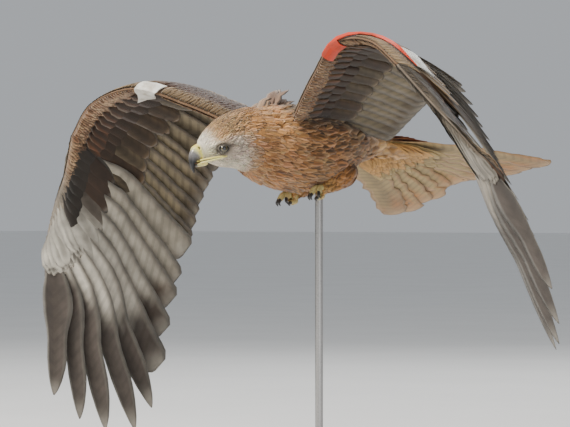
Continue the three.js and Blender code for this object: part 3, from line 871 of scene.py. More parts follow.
@dataclass
class BodySkin:
    """One skin over head, neck, torso and rump, inside the coat by its depth.

    Attributes:
        rows: Points along the spine.
        columns: Points round it.
        socket_depth: How far the skin dips round the eye, in millimetres.
        brow_height: How far the ridge over the eye stands out.
    """

    rows: int = 170
    columns: int = 112
    socket_depth: float = 3.6
    brow_height: float = 4.0

    EYE: Triple = (19.5, -17.0, -3.0)
    BROW: Triple = (20.5, -18.5, 4.6)

    @staticmethod
    def coat_depth(ring: Array) -> Array:
        """Return how deep the coat is: thin on the face, deepest on the breast."""
        neck, breast = 2.6 * smoothstep(ring, 2.4, 5.0), 1.6 * smoothstep(ring, 5.0, 7.5)
        return 0.9 + neck + breast - 2.6 * smoothstep(ring, 10.5, 12)

    def relief(self, points: Array) -> Array:
        """Return the head's folds: a ridge over each eye, and a dip round it.

        Each is a bell that dies away with the square of the distance, drawn out along the head.

        Args:
            points: Points in the bird's frame.

        Returns:
            How far each point moves outward, in millimetres.
        """
        local = head_local(points)
        ridge = self.brow_height * bell(local, self.BROW, (9.0, 10.5, 3.6))
        dip = self.socket_depth * bell(local, self.EYE, (9.0, 7.2, 6.6), 1.5)
        fold = 1.3 * bell(local, (22.0, -2.0, -8.0), (14.0, 11.0, 10.0))
        hollow = 1.6 * bell(local, (15.0, -28.0, 2.0), (9.0, 7.0, 6.0))
        return ridge - dip + fold - hollow

    def surface(self, t: Array, angle: Array, lift: Array | float = 0.0) -> Array:
        """Return the skin's points, or points lifted off it, with the head's folds."""
        depth = self.coat_depth(t * Spine.LAST)
        points = SPINE.point(t, angle, depth)
        rise = self.relief(points) + lift
        return points + SPINE.normal(t, angle) * np.asarray(rise)[..., None]

    def build(self) -> Piece:
        """Build the skin as a grid round the spine, closed at both ends by a shrinking ring."""
        t, angle = tube_grid(self.rows, self.columns)
        points, (t, angle) = closed_grid(self.surface(t, angle), [t, angle])
        colour, _, edge = body_colour(t * Spine.LAST, angle)
        colour = face_marks(points, colour) * 0.75
        parts = MeshParts()
        parts.add_plain(points, colour, t, joined(t, angle / (2 * np.pi)), edge)
        return parts.build("skin", ("head", "neck", "torso"), closed=True)


@dataclass
class BodyCoat:
    """The small feathers over the body, in rows that follow the spine.

    Attributes:
        skin: What they grow from.
        seed: Where their differences come from.
    """

    skin: BodySkin
    seed: int = 11

    ROW_STEP: float = 0.27
    FACE_END: float = 3.0
    SIZES: tuple[float, ...] = (
        4.4, 5.2, 6.6, 9.2, 14.0, 18.5, 21.5, 23.5, 25.0, 27.5, 33.0, 38.0, 42.0,
    )

    def lengths(self, ring: Array) -> Array:
        """Return the feathers' length at a place, in millimetres: smallest on the face."""
        return np.interp(ring, np.arange(len(self.SIZES)), self.SIZES)

    def rows(self, low: float, high: float, rng: Chance) -> tuple[Array, Array]:
        """Lay out roots in rows, each a step of a feather's length on and half a feather aside.

        Args:
            low: The first ring.
            high: The last ring.
            rng: Where small shifts come from.

        Returns:
            Places along the spine, and angles round it.
        """
        places: list[Array] = []
        angles: list[Array] = []
        t, number = low / Spine.LAST, 0
        while t < high / Spine.LAST:
            here = np.array(t)
            length = float(self.lengths(here * Spine.LAST))
            girth = math.pi * float(SPINE.wide(here) + SPINE.tall(here))
            count = max(12, int(girth / (length * self.ROW_STEP)))
            turn = 2 * np.pi / count
            angle = (np.arange(count) + 0.5 * (number % 2)) * turn
            angles.append(angle + rng.normal(0, 0.16, count) * turn)
            pace = length / float(SPINE.speed(here))
            places.append(t + rng.normal(0, 0.055, count) * pace)
            t += self.ROW_STEP * pace
            number += 1
        return np.clip(np.concatenate(places), 0, 1), np.concatenate(angles)

    def build(self, name: str, low: float, high: float) -> Piece:
        """Build the feathers between two rings.

        Args:
            name: The piece's name.
            low: The first ring.
            high: The last ring.

        Returns:
            The piece.
        """
        rng = np.random.default_rng(self.seed + int(low * 10))
        t, angle = self.rows(low, high, rng)
        keep = self.clear_of_face(self.skin.surface(t, angle, -0.5))
        t, angle = t[keep], angle[keep]
        vanes = self.vanes(t, angle, rng)
        paint = self.paint(t * Spine.LAST, angle, vanes.tip, rng)
        form = VaneForm(
            rows=8, columns=5, thick=0.4, shoulder=0.42, camber=0.3, point=1.25, ragged=0.16
        )
        if low < self.FACE_END:
            form = VaneForm(rows=5, columns=3, thick=0.4, shoulder=0.5, camber=0.3, ragged=0.1)
        parts = MeshParts()
        add_vanes(parts, vanes, form, paint, rng)
        log.info("%s: %d feathers", name, len(t))
        return parts.build(name)

    def vanes(self, t: Array, angle: Array, rng: Chance) -> VaneSet:
        """Lay feathers along the body, their tips lifted and drifting aside in slow waves.

        Args:
            t: Places of the roots along the spine.
            angle: Their angles round it.
            rng: Where small differences come from.

        Returns:
            The feathers.
        """
        ring, speed = t * Spine.LAST, SPINE.speed(t)
        length = self.lengths(ring) * rng.uniform(0.85, 1.18, len(t))
        far = np.minimum(t + length / speed, 1.0)
        rise = 0.22 * self.skin.coat_depth(ring) + length * 0.035
        loose = length * (0.02 + 0.045 * smoothstep(ring, 2.5, 4.5))
        loft = rise + loose * np.abs(rng.normal(0, 1, len(t)))
        waves = 0.10 * np.sin(angle * 3.0 + ring * 1.7) * np.sin(ring * 2.3 + angle)
        drift = rng.normal(0, 0.06, len(t)) + waves
        overrun = np.clip(t + length / speed - 1.0, 0, None) * speed
        tip = self.skin.surface(far, angle + drift) + SPINE.normal(far, angle) * loft[:, None]
        slim = 0.1 * smoothstep(ring, 2.5, 4.0) * (1 - smoothstep(ring, 5.5, 7.5))
        return VaneSet(
            root=self.skin.surface(t, angle, -0.5),
            tip=tip + SPINE.line.heading(far) * overrun[:, None],
            normal=SPINE.normal(t, angle),
            width=length * (rng.uniform(0.42, 0.58, len(t)) - slim),
            bow=length * 0.07, curl=length * rng.uniform(-0.02, 0.05, len(t)),
            place=joined(t, np.mod(angle / (2 * np.pi), 1.0)),
            twist=rng.normal(0, 0.12, len(t)),
        )

    @staticmethod
    def paint(ring: Array, angle: Array, tip: Array, rng: Chance) -> Painter:
        """Return the coat's markings, with a shade of its own for each feather.

        Args:
            ring: Places along the spine, as a ring's number.
            angle: Angles round it.
            tip: Where the feathers end, for the face's markings.
            rng: Where small differences come from.

        Returns:
            What add_vanes asks for colours.
        """
        count = len(ring)
        body = smoothstep(ring, 2.5, 4.5)
        colour, streak, edge = body_colour(ring, angle)
        colour, edge = face_marks(tip, colour), face_marks(tip, edge)
        colour = blend(colour, Hue.BUFF, 0.45 * body * rng.uniform(0, 1, count) ** 2)
        colour = blend(colour, Hue.UMBER, 0.40 * body * rng.uniform(0, 1, count) ** 4)
        shade = rng.normal(1.0, 0.13, count)[:, None] * rng.normal(1.0, 0.03, (count, 3))
        streak = streak * np.where(rng.random(count) < 0.5, 1.25, 0.7)

        def mark(number: Array, v: Array, u: Array) -> Marks:
            """Darken the hidden root, keep the streak by the shaft and lighten the edge."""
            base = (colour * shade)[number] * root_shade(v, 0.62)
            tint = four(base, streak[number] * smoothstep(v, 0.15, 0.5), v.shape)
            return tint, four((edge * shade)[number], 0.45, v.shape), np.zeros_like(v)

        return mark

    def shoulder_tuft(self) -> Piece:
        """Build the few long loose feathers that stand up and curl over on the back's right."""
        rng = np.random.default_rng(self.seed + 70)
        count = 12
        k = np.arange(count)
        root = joined(-46.0 + 2.2 * k, -70.0 + 3.2 * k, 36.0 + 0.4 * k)
        root = root + rng.normal(0, 1.5, (count, 3))
        swell = 28.0 + 14.0 * np.sin(np.pi * (k + 1) / count)
        rise = joined(6.0, 24.0, swell) * rng.uniform(0.9, 1.1, count)[:, None]
        facing = unit(np.array([[0.40, -0.60, 0.60]]) + rng.normal(0, 0.14, (count, 3)))
        place = joined(0.45 + 0.01 * k, 0.3 + 0.004 * k)
        vanes = VaneSet(
            root=root, tip=root + rise, normal=facing, width=17.0, bow=8.0, curl=9.0,
            place=place, twist=rng.normal(0, 0.2, count),
        )
        base = blend(srgb(132, 106, 92), Hue.BUFF, rng.uniform(0, 0.5, count))
        base[1] = Hue.WHITE * 0.7
        paint = plain_paint(base, Hue.WHITE * 0.75, 0.3, 0.5, least=1.0)
        parts = MeshParts()
        form = VaneForm(
            rows=10, columns=5, thick=0.5, shoulder=0.5, camber=0.3, point=1.2, ragged=0.12
        )
        add_vanes(parts, vanes, form, paint, rng)
        return parts.build("shoulder_tuft")

    @staticmethod
    def clear_of_face(points: Array) -> Array:
        """Tell which roots are clear of the eyes and of the bill's bare skin."""
        local = head_local(points)
        eye = local - np.array(BodySkin.EYE)
        near_eye = np.linalg.norm(eye[:, 1:] / np.array([1.1, 0.95]), axis=-1) < 7.4
        on_side = np.abs(eye[:, 0]) < 9
        lips = np.abs(local[:, 2] + 14.0 - (local[:, 1] + 36.0) * 0.2) < 2.2
        return ~(near_eye & on_side) & ~(lips & (local[:, 1] < -9))


class Face(Enum):
    """The two faces of a wing: its back and its underside."""

    UPPER = 1.0
    UNDER = -1.0


@dataclass(frozen=True)
class Tier:
    """One row of feathers along a stretch of wing.

    Attributes:
        count: How many feathers.
        start: Where the row starts along the stretch.
        stop: Where it ends.
        root_share: Where they are rooted, as a share of the chord.
        tip_share: Where they end.
        width: Width, in millimetres.
        root_lift: Height of the root over the wing's middle surface.
        tip_lift: Height of the tip over it.
        bow: How far they arch outward.
    """

    count: int
    start: float
    stop: float
    root_share: float
    tip_share: float
    width: float
    root_lift: float
    tip_lift: float
    bow: float = 1.5


def tier_vanes(
    stretch: WingStretch, tier: Tier, face: Face, rng: Chance, twist: float = SHINGLE
) -> VaneSet:
    """Place a tier's feathers on a stretch of wing.

    Args:
        stretch: The stretch.
        tier: The row.
        face: Which face of the wing.
        rng: Where small differences come from.
        twist: Turn about the shaft.

    Returns:
        The feathers.
    """
    step = (tier.stop - tier.start) / tier.count
    t = tier.start + (np.arange(tier.count) + 0.5) * step
    t_tip = np.clip(t + rng.normal(0, 0.12, tier.count) * step, 0, 1)
    sign = face.value
    normal = stretch.normal(t)
    reach = tier.tip_share * (1 + rng.normal(0, 0.018, tier.count) * (tier.tip_share < 0.99))
    root = stretch.point(t, tier.root_share) + normal * (sign * tier.root_lift)
    tip = stretch.point(t_tip, reach) + stretch.normal(t_tip) * (sign * tier.tip_lift)
    return VaneSet(
        root=root, tip=tip, normal=normal * sign, bow=tier.bow, curl=0.6,
        width=tier.width * rng.uniform(0.94, 1.06, tier.count),
        place=joined(t, tier.root_share), twist=twist * sign,
    )


@dataclass(frozen=True)
class Tag:
    """Where a wing tag lies on the arm, so that no feather grows through it.

    Attributes:
        face: The face its flap lies on.
        start: Its inner edge along the arm, at the nose of the wing.
        stop: Its outer edge there.
        slant: How far outward it runs for a step of one along the chord.
        slanted: How much of the chord it slants along.
        top: Share of the chord it covers above.
        under: Share it covers below.
    """

    face: Face
    start: float
    stop: float
    slant: float
    slanted: float
    top: float
    under: float

    def covers(self, t: Array, turn: Array) -> Array:
        """Tell which places along the arm and round the nose, negative below, it covers."""
        shifted = t - self.slant * np.clip(turn * self.face.value, 0.0, self.slanted)
        along = (shifted > self.start - 0.01) & (shifted < self.stop + 0.01)
        return along & (turn < self.top + 0.01) & (turn > -self.under - 0.01)


TAGS = {
    Side.LEFT: Tag(Face.UPPER, 0.38, 0.53, 4.5, 0.10, 0.21, 0.07),
    Side.RIGHT: Tag(Face.UNDER, 0.375, 0.475, 0.7, 0.20, 0.05, 0.17),
}


SECONDARIES = 21
PRIMARIES = 10
# Where along a primary its dark part starts, by its number counted inward from the outermost.
DARK_FROM = ((0, 1, 2, 3, 4, 5, 9), (0.06, 0.16, 0.28, 0.40, 0.50, 0.68, 0.95))
# How much of the front's thickness is flesh under the small coverts.
FLESH = 0.8


@dataclass
class WingPlumage:
    """One wing: its fleshy front, flight feathers, and coverts above and below, in rows.

    Attributes:
        side: Which wing.
        seed: Where its differences come from.
    """

    side: Side
    seed: int

    def __post_init__(self) -> None:
        """Start the wing's own random numbers."""
        self.rng = np.random.default_rng(self.seed)
        self.hand = self.side.hand()
        # Left, near wing: pale parts greyed, hand's buff nose grey sooner; painted shade.
        self.pale = blend(Hue.PALE, Hue.GREY, 0.0 if self.side is Side.RIGHT else 0.65)
        self.rim_end = 0.5 if self.side is Side.RIGHT else 0.1

    def front(self, parts: MeshParts, stretch: WingStretch) -> None:
        """Add the fleshy front as a closed lens, half its thickness each way from the middle.

        Args:
            parts: Where it is added.
            stretch: The stretch.
        """
        t, turn = tube_grid(40, 24)
        u = 0.5 - 0.5 * np.cos(turn)
        half = stretch.half(t, u) * FLESH * np.sqrt(np.abs(np.sin(turn))) * np.sign(np.sin(turn))
        points = stretch.point(t, u * stretch.rear) + stretch.normal(t) * half[..., None]
        points, (t, u, half) = closed_grid(points, [t, u, half])
        nose = blend(Hue.BACK, Hue.BUFF, 0.1)
        if stretch is self.hand:
            nose = blend(Hue.GREY, Hue.BACK, 0.3)
        above_it = blend(Hue.BACK, nose, 1.0 - smoothstep(u, 0.0, 0.3))
        below_it = blend(Hue.UMBER, nose, 1.0 - smoothstep(u, 0.0, 0.25))
        colour = np.where(half[..., None] > 0, above_it, below_it)
        parts.add_plain(points, colour, t, joined(t, u * stretch.rear))

    def secondary_paint(self, form: VaneForm, count: int) -> Painter:
        """Return the arm's flight feathers' markings: grey brown, faintly barred, with a pale rim.

        Args:
            form: The feathers' form.
            count: How many there are.

        Returns:
            What add_vanes asks for colours.
        """
        shade = self.rng.normal(1.0, 0.07, count)[:, None]

        def paint(number: Array, v: Array, u: Array) -> Marks:
            """Darken towards the tip and across the outer web."""
            # OLIVE is partly painted shade.
            colour = blend(Hue.OLIVE, Hue.UMBER, 0.75 * smoothstep(v, 0.70, 0.97))
            colour = blend(colour, Hue.UMBER, 0.30 * smoothstep(u, -0.2, 0.9))
            colour = blend(colour, Hue.BACK * 0.8, above(form, v, u))
            bars = 0.42 * smoothstep(v, 0.1, 0.3)
            rim = four(Hue.PALE * 0.85, 0.35, v.shape)
            return four(colour * shade[number], 0.2, v.shape), rim, bars

        return paint

    def primary_paint(self, form: VaneForm, first: int, count: int) -> Painter:
        """Return the hand's flight feathers' markings: pale at the base below, dark at the fingers.

        The outermost feather is dark from its root, and the dark part starts further out on each
        inner one, so that the innermost are pale almost to the tip.

        Args:
            form: The feathers' form.
            first: Number of the first one, counted from the wrist.
            count: How many are painted.

        Returns:
            What add_vanes asks for colours.
        """
        shade = self.rng.normal(1.0, 0.05, count)[:, None]

        def paint(number: Array, v: Array, u: Array) -> Marks:
            """Shade a feather along its length and across its two webs."""
            inner = 1.0 - (number + first) / (PRIMARIES - 1)
            start = np.interp(inner * (PRIMARIES - 1), *DARK_FROM)
            # self.pale carries the near wing's painted shade.
            pale = blend(self.pale, Hue.OLIVE, 0.02 + 0.50 * smoothstep(inner, 0.5, 1.0))
            pale = blend(pale, Hue.GREY, 0.35 * smoothstep(-u, 0.2, 0.9))
            dark = blend(Hue.FINGER, Hue.SOOT, 0.6 * smoothstep(u, -0.3, 0.7))
            dark = blend(dark, Hue.UMBER * 1.3, smoothstep(inner, 0.5, 0.9))
            weight = smoothstep(v + 0.04 * np.sin(u * 5.0 + number), start - 0.07, start + 0.10)
            colour = blend(pale, dark, weight)
            top = blend(Hue.BACK, Hue.SOOT, 0.3 + 0.7 * weight)
            colour = blend(colour, top, above(form, v, u))
            bars = 0.24 * smoothstep(v, 0.15, 0.35)
            edge = four(Hue.PALE * 0.8, 0.30 + 0.25 * inner, v.shape)
            return four(colour * shade[number], 0.3, v.shape), edge, bars

        return paint

    def flight(self) -> tuple[Piece, Piece]:
        """Build the arm's and the hand's flight feathers.

        Returns:
            The secondaries' piece and the primaries' piece.
        """
        arm, hand = MeshParts(), MeshParts()
        web = VaneForm(
            rows=18, columns=7, thick=0.9, shoulder=0.93, root_width=0.3, camber=0.07,
            lean=0.25, ragged=0.02,
        )
        finger = VaneForm(
            rows=28, columns=7, thick=1.0, shoulder=0.74, root_width=0.3, camber=0.08,
            lean=0.3, notch=0.34, point=1.35, ragged=0.012,
        )
        tier = Tier(SECONDARIES, 0.0, 1.0, 0.28, 1.0, 35.0, 0.0, 0.0, bow=5.0)
        vanes = tier_vanes(ARM, tier, Face.UPPER, self.rng)
        add_vanes(arm, vanes, web, self.secondary_paint(web, tier.count), self.rng)
        half = PRIMARIES // 2
        for form, first, start, stop, width in (
            (web, 0, 0.0, 0.48, 43.0),
            (finger, half, 0.48, 0.99, 40.0),
        ):
            tier = Tier(half, start, stop, 0.12, 1.0, width, 0.0, 0.0, bow=6.0)
            vanes = tier_vanes(self.hand, tier, Face.UPPER, self.rng)
            add_vanes(hand, vanes, form, self.primary_paint(form, first, half), self.rng)
        word = self.side.word
        return (
            arm.build(f"secondaries_{word}", (f"wing_{word}_arm",), self.side),
            hand.build(f"primaries_{word}", (f"wing_{word}_hand",), self.side),
        )

    def covert_paint(
        self, base: Paint, edge: Paint, streak: float, fringe: float, count: int, bars: float = 0.0
    ) -> Painter:
        """Return markings for coverts: one base colour with a dark shaft and a lighter edge.

        Args:
            base: Base colour, one for all or one a feather.
            edge: Edge colour.
            streak: The shaft streak's strength.
            fringe: The edge's strength.
            count: How many feathers.
            bars: The bars' strength.

        Returns:
            What add_vanes asks for colours.
        """
        shade = self.rng.normal(1.0, 0.12, count)[:, None]
        return plain_paint(rgb(base) * shade, rgb(edge) * shade, streak, fringe, bars)

    @staticmethod
    def carpal(t: Array, share: Array | float) -> Array:
        """Return 1 in the dark patch at the wrist, which ends halfway along the hand, else 0."""
        reach = np.interp(t, (0.0, 0.2, 0.48, 0.6), (0.48, 0.43, 0.26, -0.10))
        return 1.0 - smoothstep(share - reach, -0.05, 0.07)

    def great_coverts(self, parts: MeshParts, stretch: WingStretch) -> None:
        """Add the greater and median coverts on both faces of a stretch.

        Args:
            parts: Where they are added.
            stretch: The stretch.
        """
        form = VaneForm(
            rows=9, columns=5, thick=0.6, shoulder=0.68, root_width=0.35, camber=0.12, ragged=0.04
        )
        soot, umber, buff = Hue.SOOT, Hue.UMBER, Hue.BUFF
        # ash comes from self.pale, so it carries the near wing's painted shade.
        ash = self.pale * 0.8

        def patched(dark: Hue, start: float, stop: float, count: int, share: float) -> Array:
            """Return a row's ash grey, with the dark patch at the wrist."""
            return blend(ash, dark, self.carpal(np.linspace(start, stop, count), share))

        near, far = patched(umber, 0.03, 0.47, 7, 0.38), patched(umber, 0.53, 0.94, 7, 0.25)
        small = patched(soot, 0.03, 0.94, 15, 0.2)
        mottled = blend(umber * 1.2, Hue.OLIVE * 0.6, self.rng.uniform(0, 0.7, 17))
        tawny = blend(umber, Hue.RUFOUS, self.rng.uniform(0.0, 0.35, 25))
        sandy = blend(umber, buff, self.rng.uniform(0.25, 0.55, 17))
        up, under = Face.UPPER, Face.UNDER
        if stretch is self.hand:
            rows = [
                (up, Tier(11, 0.0, 0.97, 0.06, 0.40, 26, 2.5, 3.6), soot, Hue.GREY, 0.3, 0.35, 0.0),
                (up, Tier(14, 0.0, 0.97, 0.03, 0.24, 20, 4.5, 5.2), umber, buff, 0.4, 0.4, 0.0),
                (under, Tier(7, 0.0, 0.5, 0.06, 0.40, 27, 2.5, 3.6), near, ash, 0.3, 0.3, 0.1),
                (under, Tier(7, 0.5, 0.97, 0.05, 0.27, 25, 2.5, 3.6), far, ash, 0.3, 0.3, 0.1),
                (under, Tier(15, 0.0, 0.97, 0.03, 0.24, 20, 4.5, 5.2), small, umber, 0.4, 0.2, 0.0),
            ]
        else:
            rust, dim = Hue.RUFOUS * 0.5, buff * 0.5
            rows = [
                (up, Tier(14, 0.0, 1.0, 0.20, 0.62, 27, 3.0, 4.0), umber, buff, 0.4, 0.5, 0.0),
                (up, Tier(17, 0.0, 1.0, 0.13, 0.44, 23, 6.0, 6.0), sandy, buff, 0.8, 0.55, 0.0),
                (under, Tier(17, 0.0, 1.0, 0.20, 0.58, 27, 3.0, 4.0), mottled, dim, 0.6, 0.5, 0.35),
                (under, Tier(21, 0.0, 1.0, 0.14, 0.42, 22, 5.0, 5.2), umber, rust, 0.6, 0.4, 0.2),
                (under, Tier(25, 0.0, 1.0, 0.10, 0.29, 17, 7.0, 6.6), tawny, dim, 0.8, 0.5, 0.0),
            ]
        for face, tier, base, edge, streak, fringe, bars in rows:
            vanes = tier_vanes(stretch, tier, face, self.rng, SHINGLE * 0.7)
            paint = self.covert_paint(base, edge, streak, fringe, tier.count, bars)
            add_vanes(parts, vanes, form, paint, self.rng)

    def lesser_coverts(self, parts: MeshParts, stretch: WingStretch) -> None:
        """Add rows of small coverts from the nose of the wing back over its thick front.

        Args:
            parts: Where they are added.
            stretch: The stretch.
        """
        form = VaneForm(rows=5, columns=3, thick=0.4, shoulder=0.5, camber=0.25, ragged=0.08)
        hand, rear = stretch is self.hand, stretch.rear
        places = np.linspace(0, 1, 9)
        lead, tips = stretch.lead.at(places), stretch.tips.at(places)
        span = float(np.linalg.norm(lead[-1] - lead[0]))
        chord = float(np.mean(np.linalg.norm(tips - lead, axis=-1)))
        for face in Face:
            sign, share, row = face.value, 0.0, 0
            while share < rear * 0.62:
                length = 13.0 + 26.0 * share / rear
                width = length * 0.6
                count = int(span / (width * 0.42))
                shift = 0.5 * (row % 2) + self.rng.normal(0, 0.15, count)
                t = np.clip((np.arange(count) + shift) / count, 0, 1)
                reach = share + length / chord * self.rng.uniform(0.9, 1.1, count)
                loft = np.full(count, 1.4 + 2.0 * share / rear)
                if not hand:
                    middle = share + 0.4 * (reach - share)
                    free = self.clear_of_tag(t, sign * share, sign * middle)
                    t, reach, loft, count = t[free], reach[free], loft[free], int(free.sum())
                    loft = np.where(self.clear_of_tag(t, sign * share, sign * reach), loft, 0.3)
                thick_root = stretch.half(t, np.full(count, share / rear)) * FLESH
                thick_tip = stretch.half(t, np.clip(reach / rear, 0, 1)) * FLESH
                outward = stretch.normal(t) * sign
                vanes = VaneSet(
                    root=stretch.point(t, share) + outward * (thick_root * 0.9)[:, None],
                    tip=stretch.point(t, reach) + outward * (thick_tip + loft)[:, None],
                    normal=outward, width=width * self.rng.uniform(0.9, 1.1, count),
                    bow=1.2, curl=0.5, place=joined(t, share),
                    twist=self.rng.normal(0.06, 0.08, count) * sign,
                )
                base, edge, streak = self.lesser_colour(face, hand, share / rear, t)
                paint = self.covert_paint(base, edge, streak, 0.5, count)
                add_vanes(parts, vanes, form, paint, self.rng)
                share += 0.30 * length / chord
                row += 1

    def clear_of_tag(self, t: Array, root: float, tip: Array) -> Array:
        """Tell which feathers are clear of the tag, from their shares round the nose."""
        tag = TAGS[self.side]
        covered = np.zeros(len(t), dtype=bool)
        for step in (0.0, 0.35, 0.7, 1.0):
            covered |= tag.covers(t, root + (tip - root) * step)
        return ~covered

    def lesser_colour(
        self, face: Face, hand: bool, depth: float, t: Array
    ) -> tuple[Array, Array, float]:
        """Give the small coverts' colours, by face and by how far back they are.

        Args:
            face: Which face.
            hand: Whether on the hand.
            depth: How far back, 0 at the nose and 1 at the front's rear.
            t: Places along the stretch.

        Returns:
            Base colours, edge colours and the streak's strength.
        """
        if face is Face.UPPER:
            nose = blend(Hue.BUFF * 0.65, Hue.BUFF, smoothstep(t, 0.35, 0.9))
            if hand:
                # rim_end turns the nose grey sooner on the near wing: painted shade.
                fade = smoothstep(t, self.rim_end - 0.5, self.rim_end)
                nose = blend(Hue.BUFF * 0.8, Hue.GREY, fade)
            wide = 1.0 if hand else smoothstep(t, 0.35, 0.6)
            fade = smoothstep((depth - 0.03 - 0.09 * wide) / (0.10 + 0.28 * wide), 0.0, 1.0)
            base = blend(nose * 0.85, Hue.MAUVE, fade)
            return base, blend(base, Hue.BUFF, 0.6), 0.7
        nose = blend(Hue.RUFOUS, Hue.BUFF * 0.9, self.rng.uniform(0.2, 0.75, len(t)))
        if hand:
            # rim_end and self.pale carry the near wing's painted shade here.
            nose = blend(nose, Hue.GREY, smoothstep(t, self.rim_end - 0.4, self.rim_end))
            rear_colour = blend(self.pale * 0.75, Hue.SOOT, self.carpal(t, depth * self.hand.rear))
        else:
            rear_colour = blend(Hue.UMBER, Hue.RUFOUS, 0.45 * (1 - t))
        base = blend(nose, rear_colour, smoothstep(depth, 0.08, 0.35 if hand else 0.60))
        return base, blend(base, Hue.BUFF * 0.8, 0.3), 0.75

    def alula(self, parts: MeshParts) -> None:
        """Add the thumb's four stiff feathers, laid outward along the hand's leading edge."""
        count = 4
        k = np.arange(count)
        t = 0.05 + 0.05 * k
        normal = self.hand.normal(t)
        root = self.hand.point(t, 0.03) + normal * 5.0
        tip = self.hand.point(t + 0.34 + 0.04 * k, 0.10 + 0.02 * k) + normal * 6.0
        vanes = VaneSet(
            root=root, tip=tip, normal=normal, width=17.0, bow=2.0, curl=1.0,
            place=joined(t, 0.1), twist=0.1,
        )
        form = VaneForm(
            rows=10, columns=5, thick=0.7, shoulder=0.75, root_width=0.4, camber=0.15, ragged=0.02
        )
        outermost = Hue.WHITE * 0.85 if self.side is Side.RIGHT else Hue.BACK
        base = blend(Hue.UMBER, outermost, np.array([0.0, 0.15, 0.5, 0.9]))
        # The edge colour self.pale carries the near wing's painted shade.
        paint = self.covert_paint(base, self.pale, 0.3, 0.4, count)
        add_vanes(parts, vanes, form, paint, self.rng)

    def build(self) -> list[Piece]:
        """Build the whole wing.

        Returns:
            Its pieces.
        """
        secondaries, primaries = self.flight()
        arm, hand = MeshParts(), MeshParts()
        for add in (self.front, self.great_coverts, self.lesser_coverts):
            add(arm, ARM)
            add(hand, self.hand)
        self.alula(hand)
        word = self.side.word
        return [
            secondaries,
            primaries,
            arm.build(f"arm_coverts_{word}", (f"wing_{word}_arm",), self.side),
            hand.build(f"hand_coverts_{word}", (f"wing_{word}_hand",), self.side),
        ]


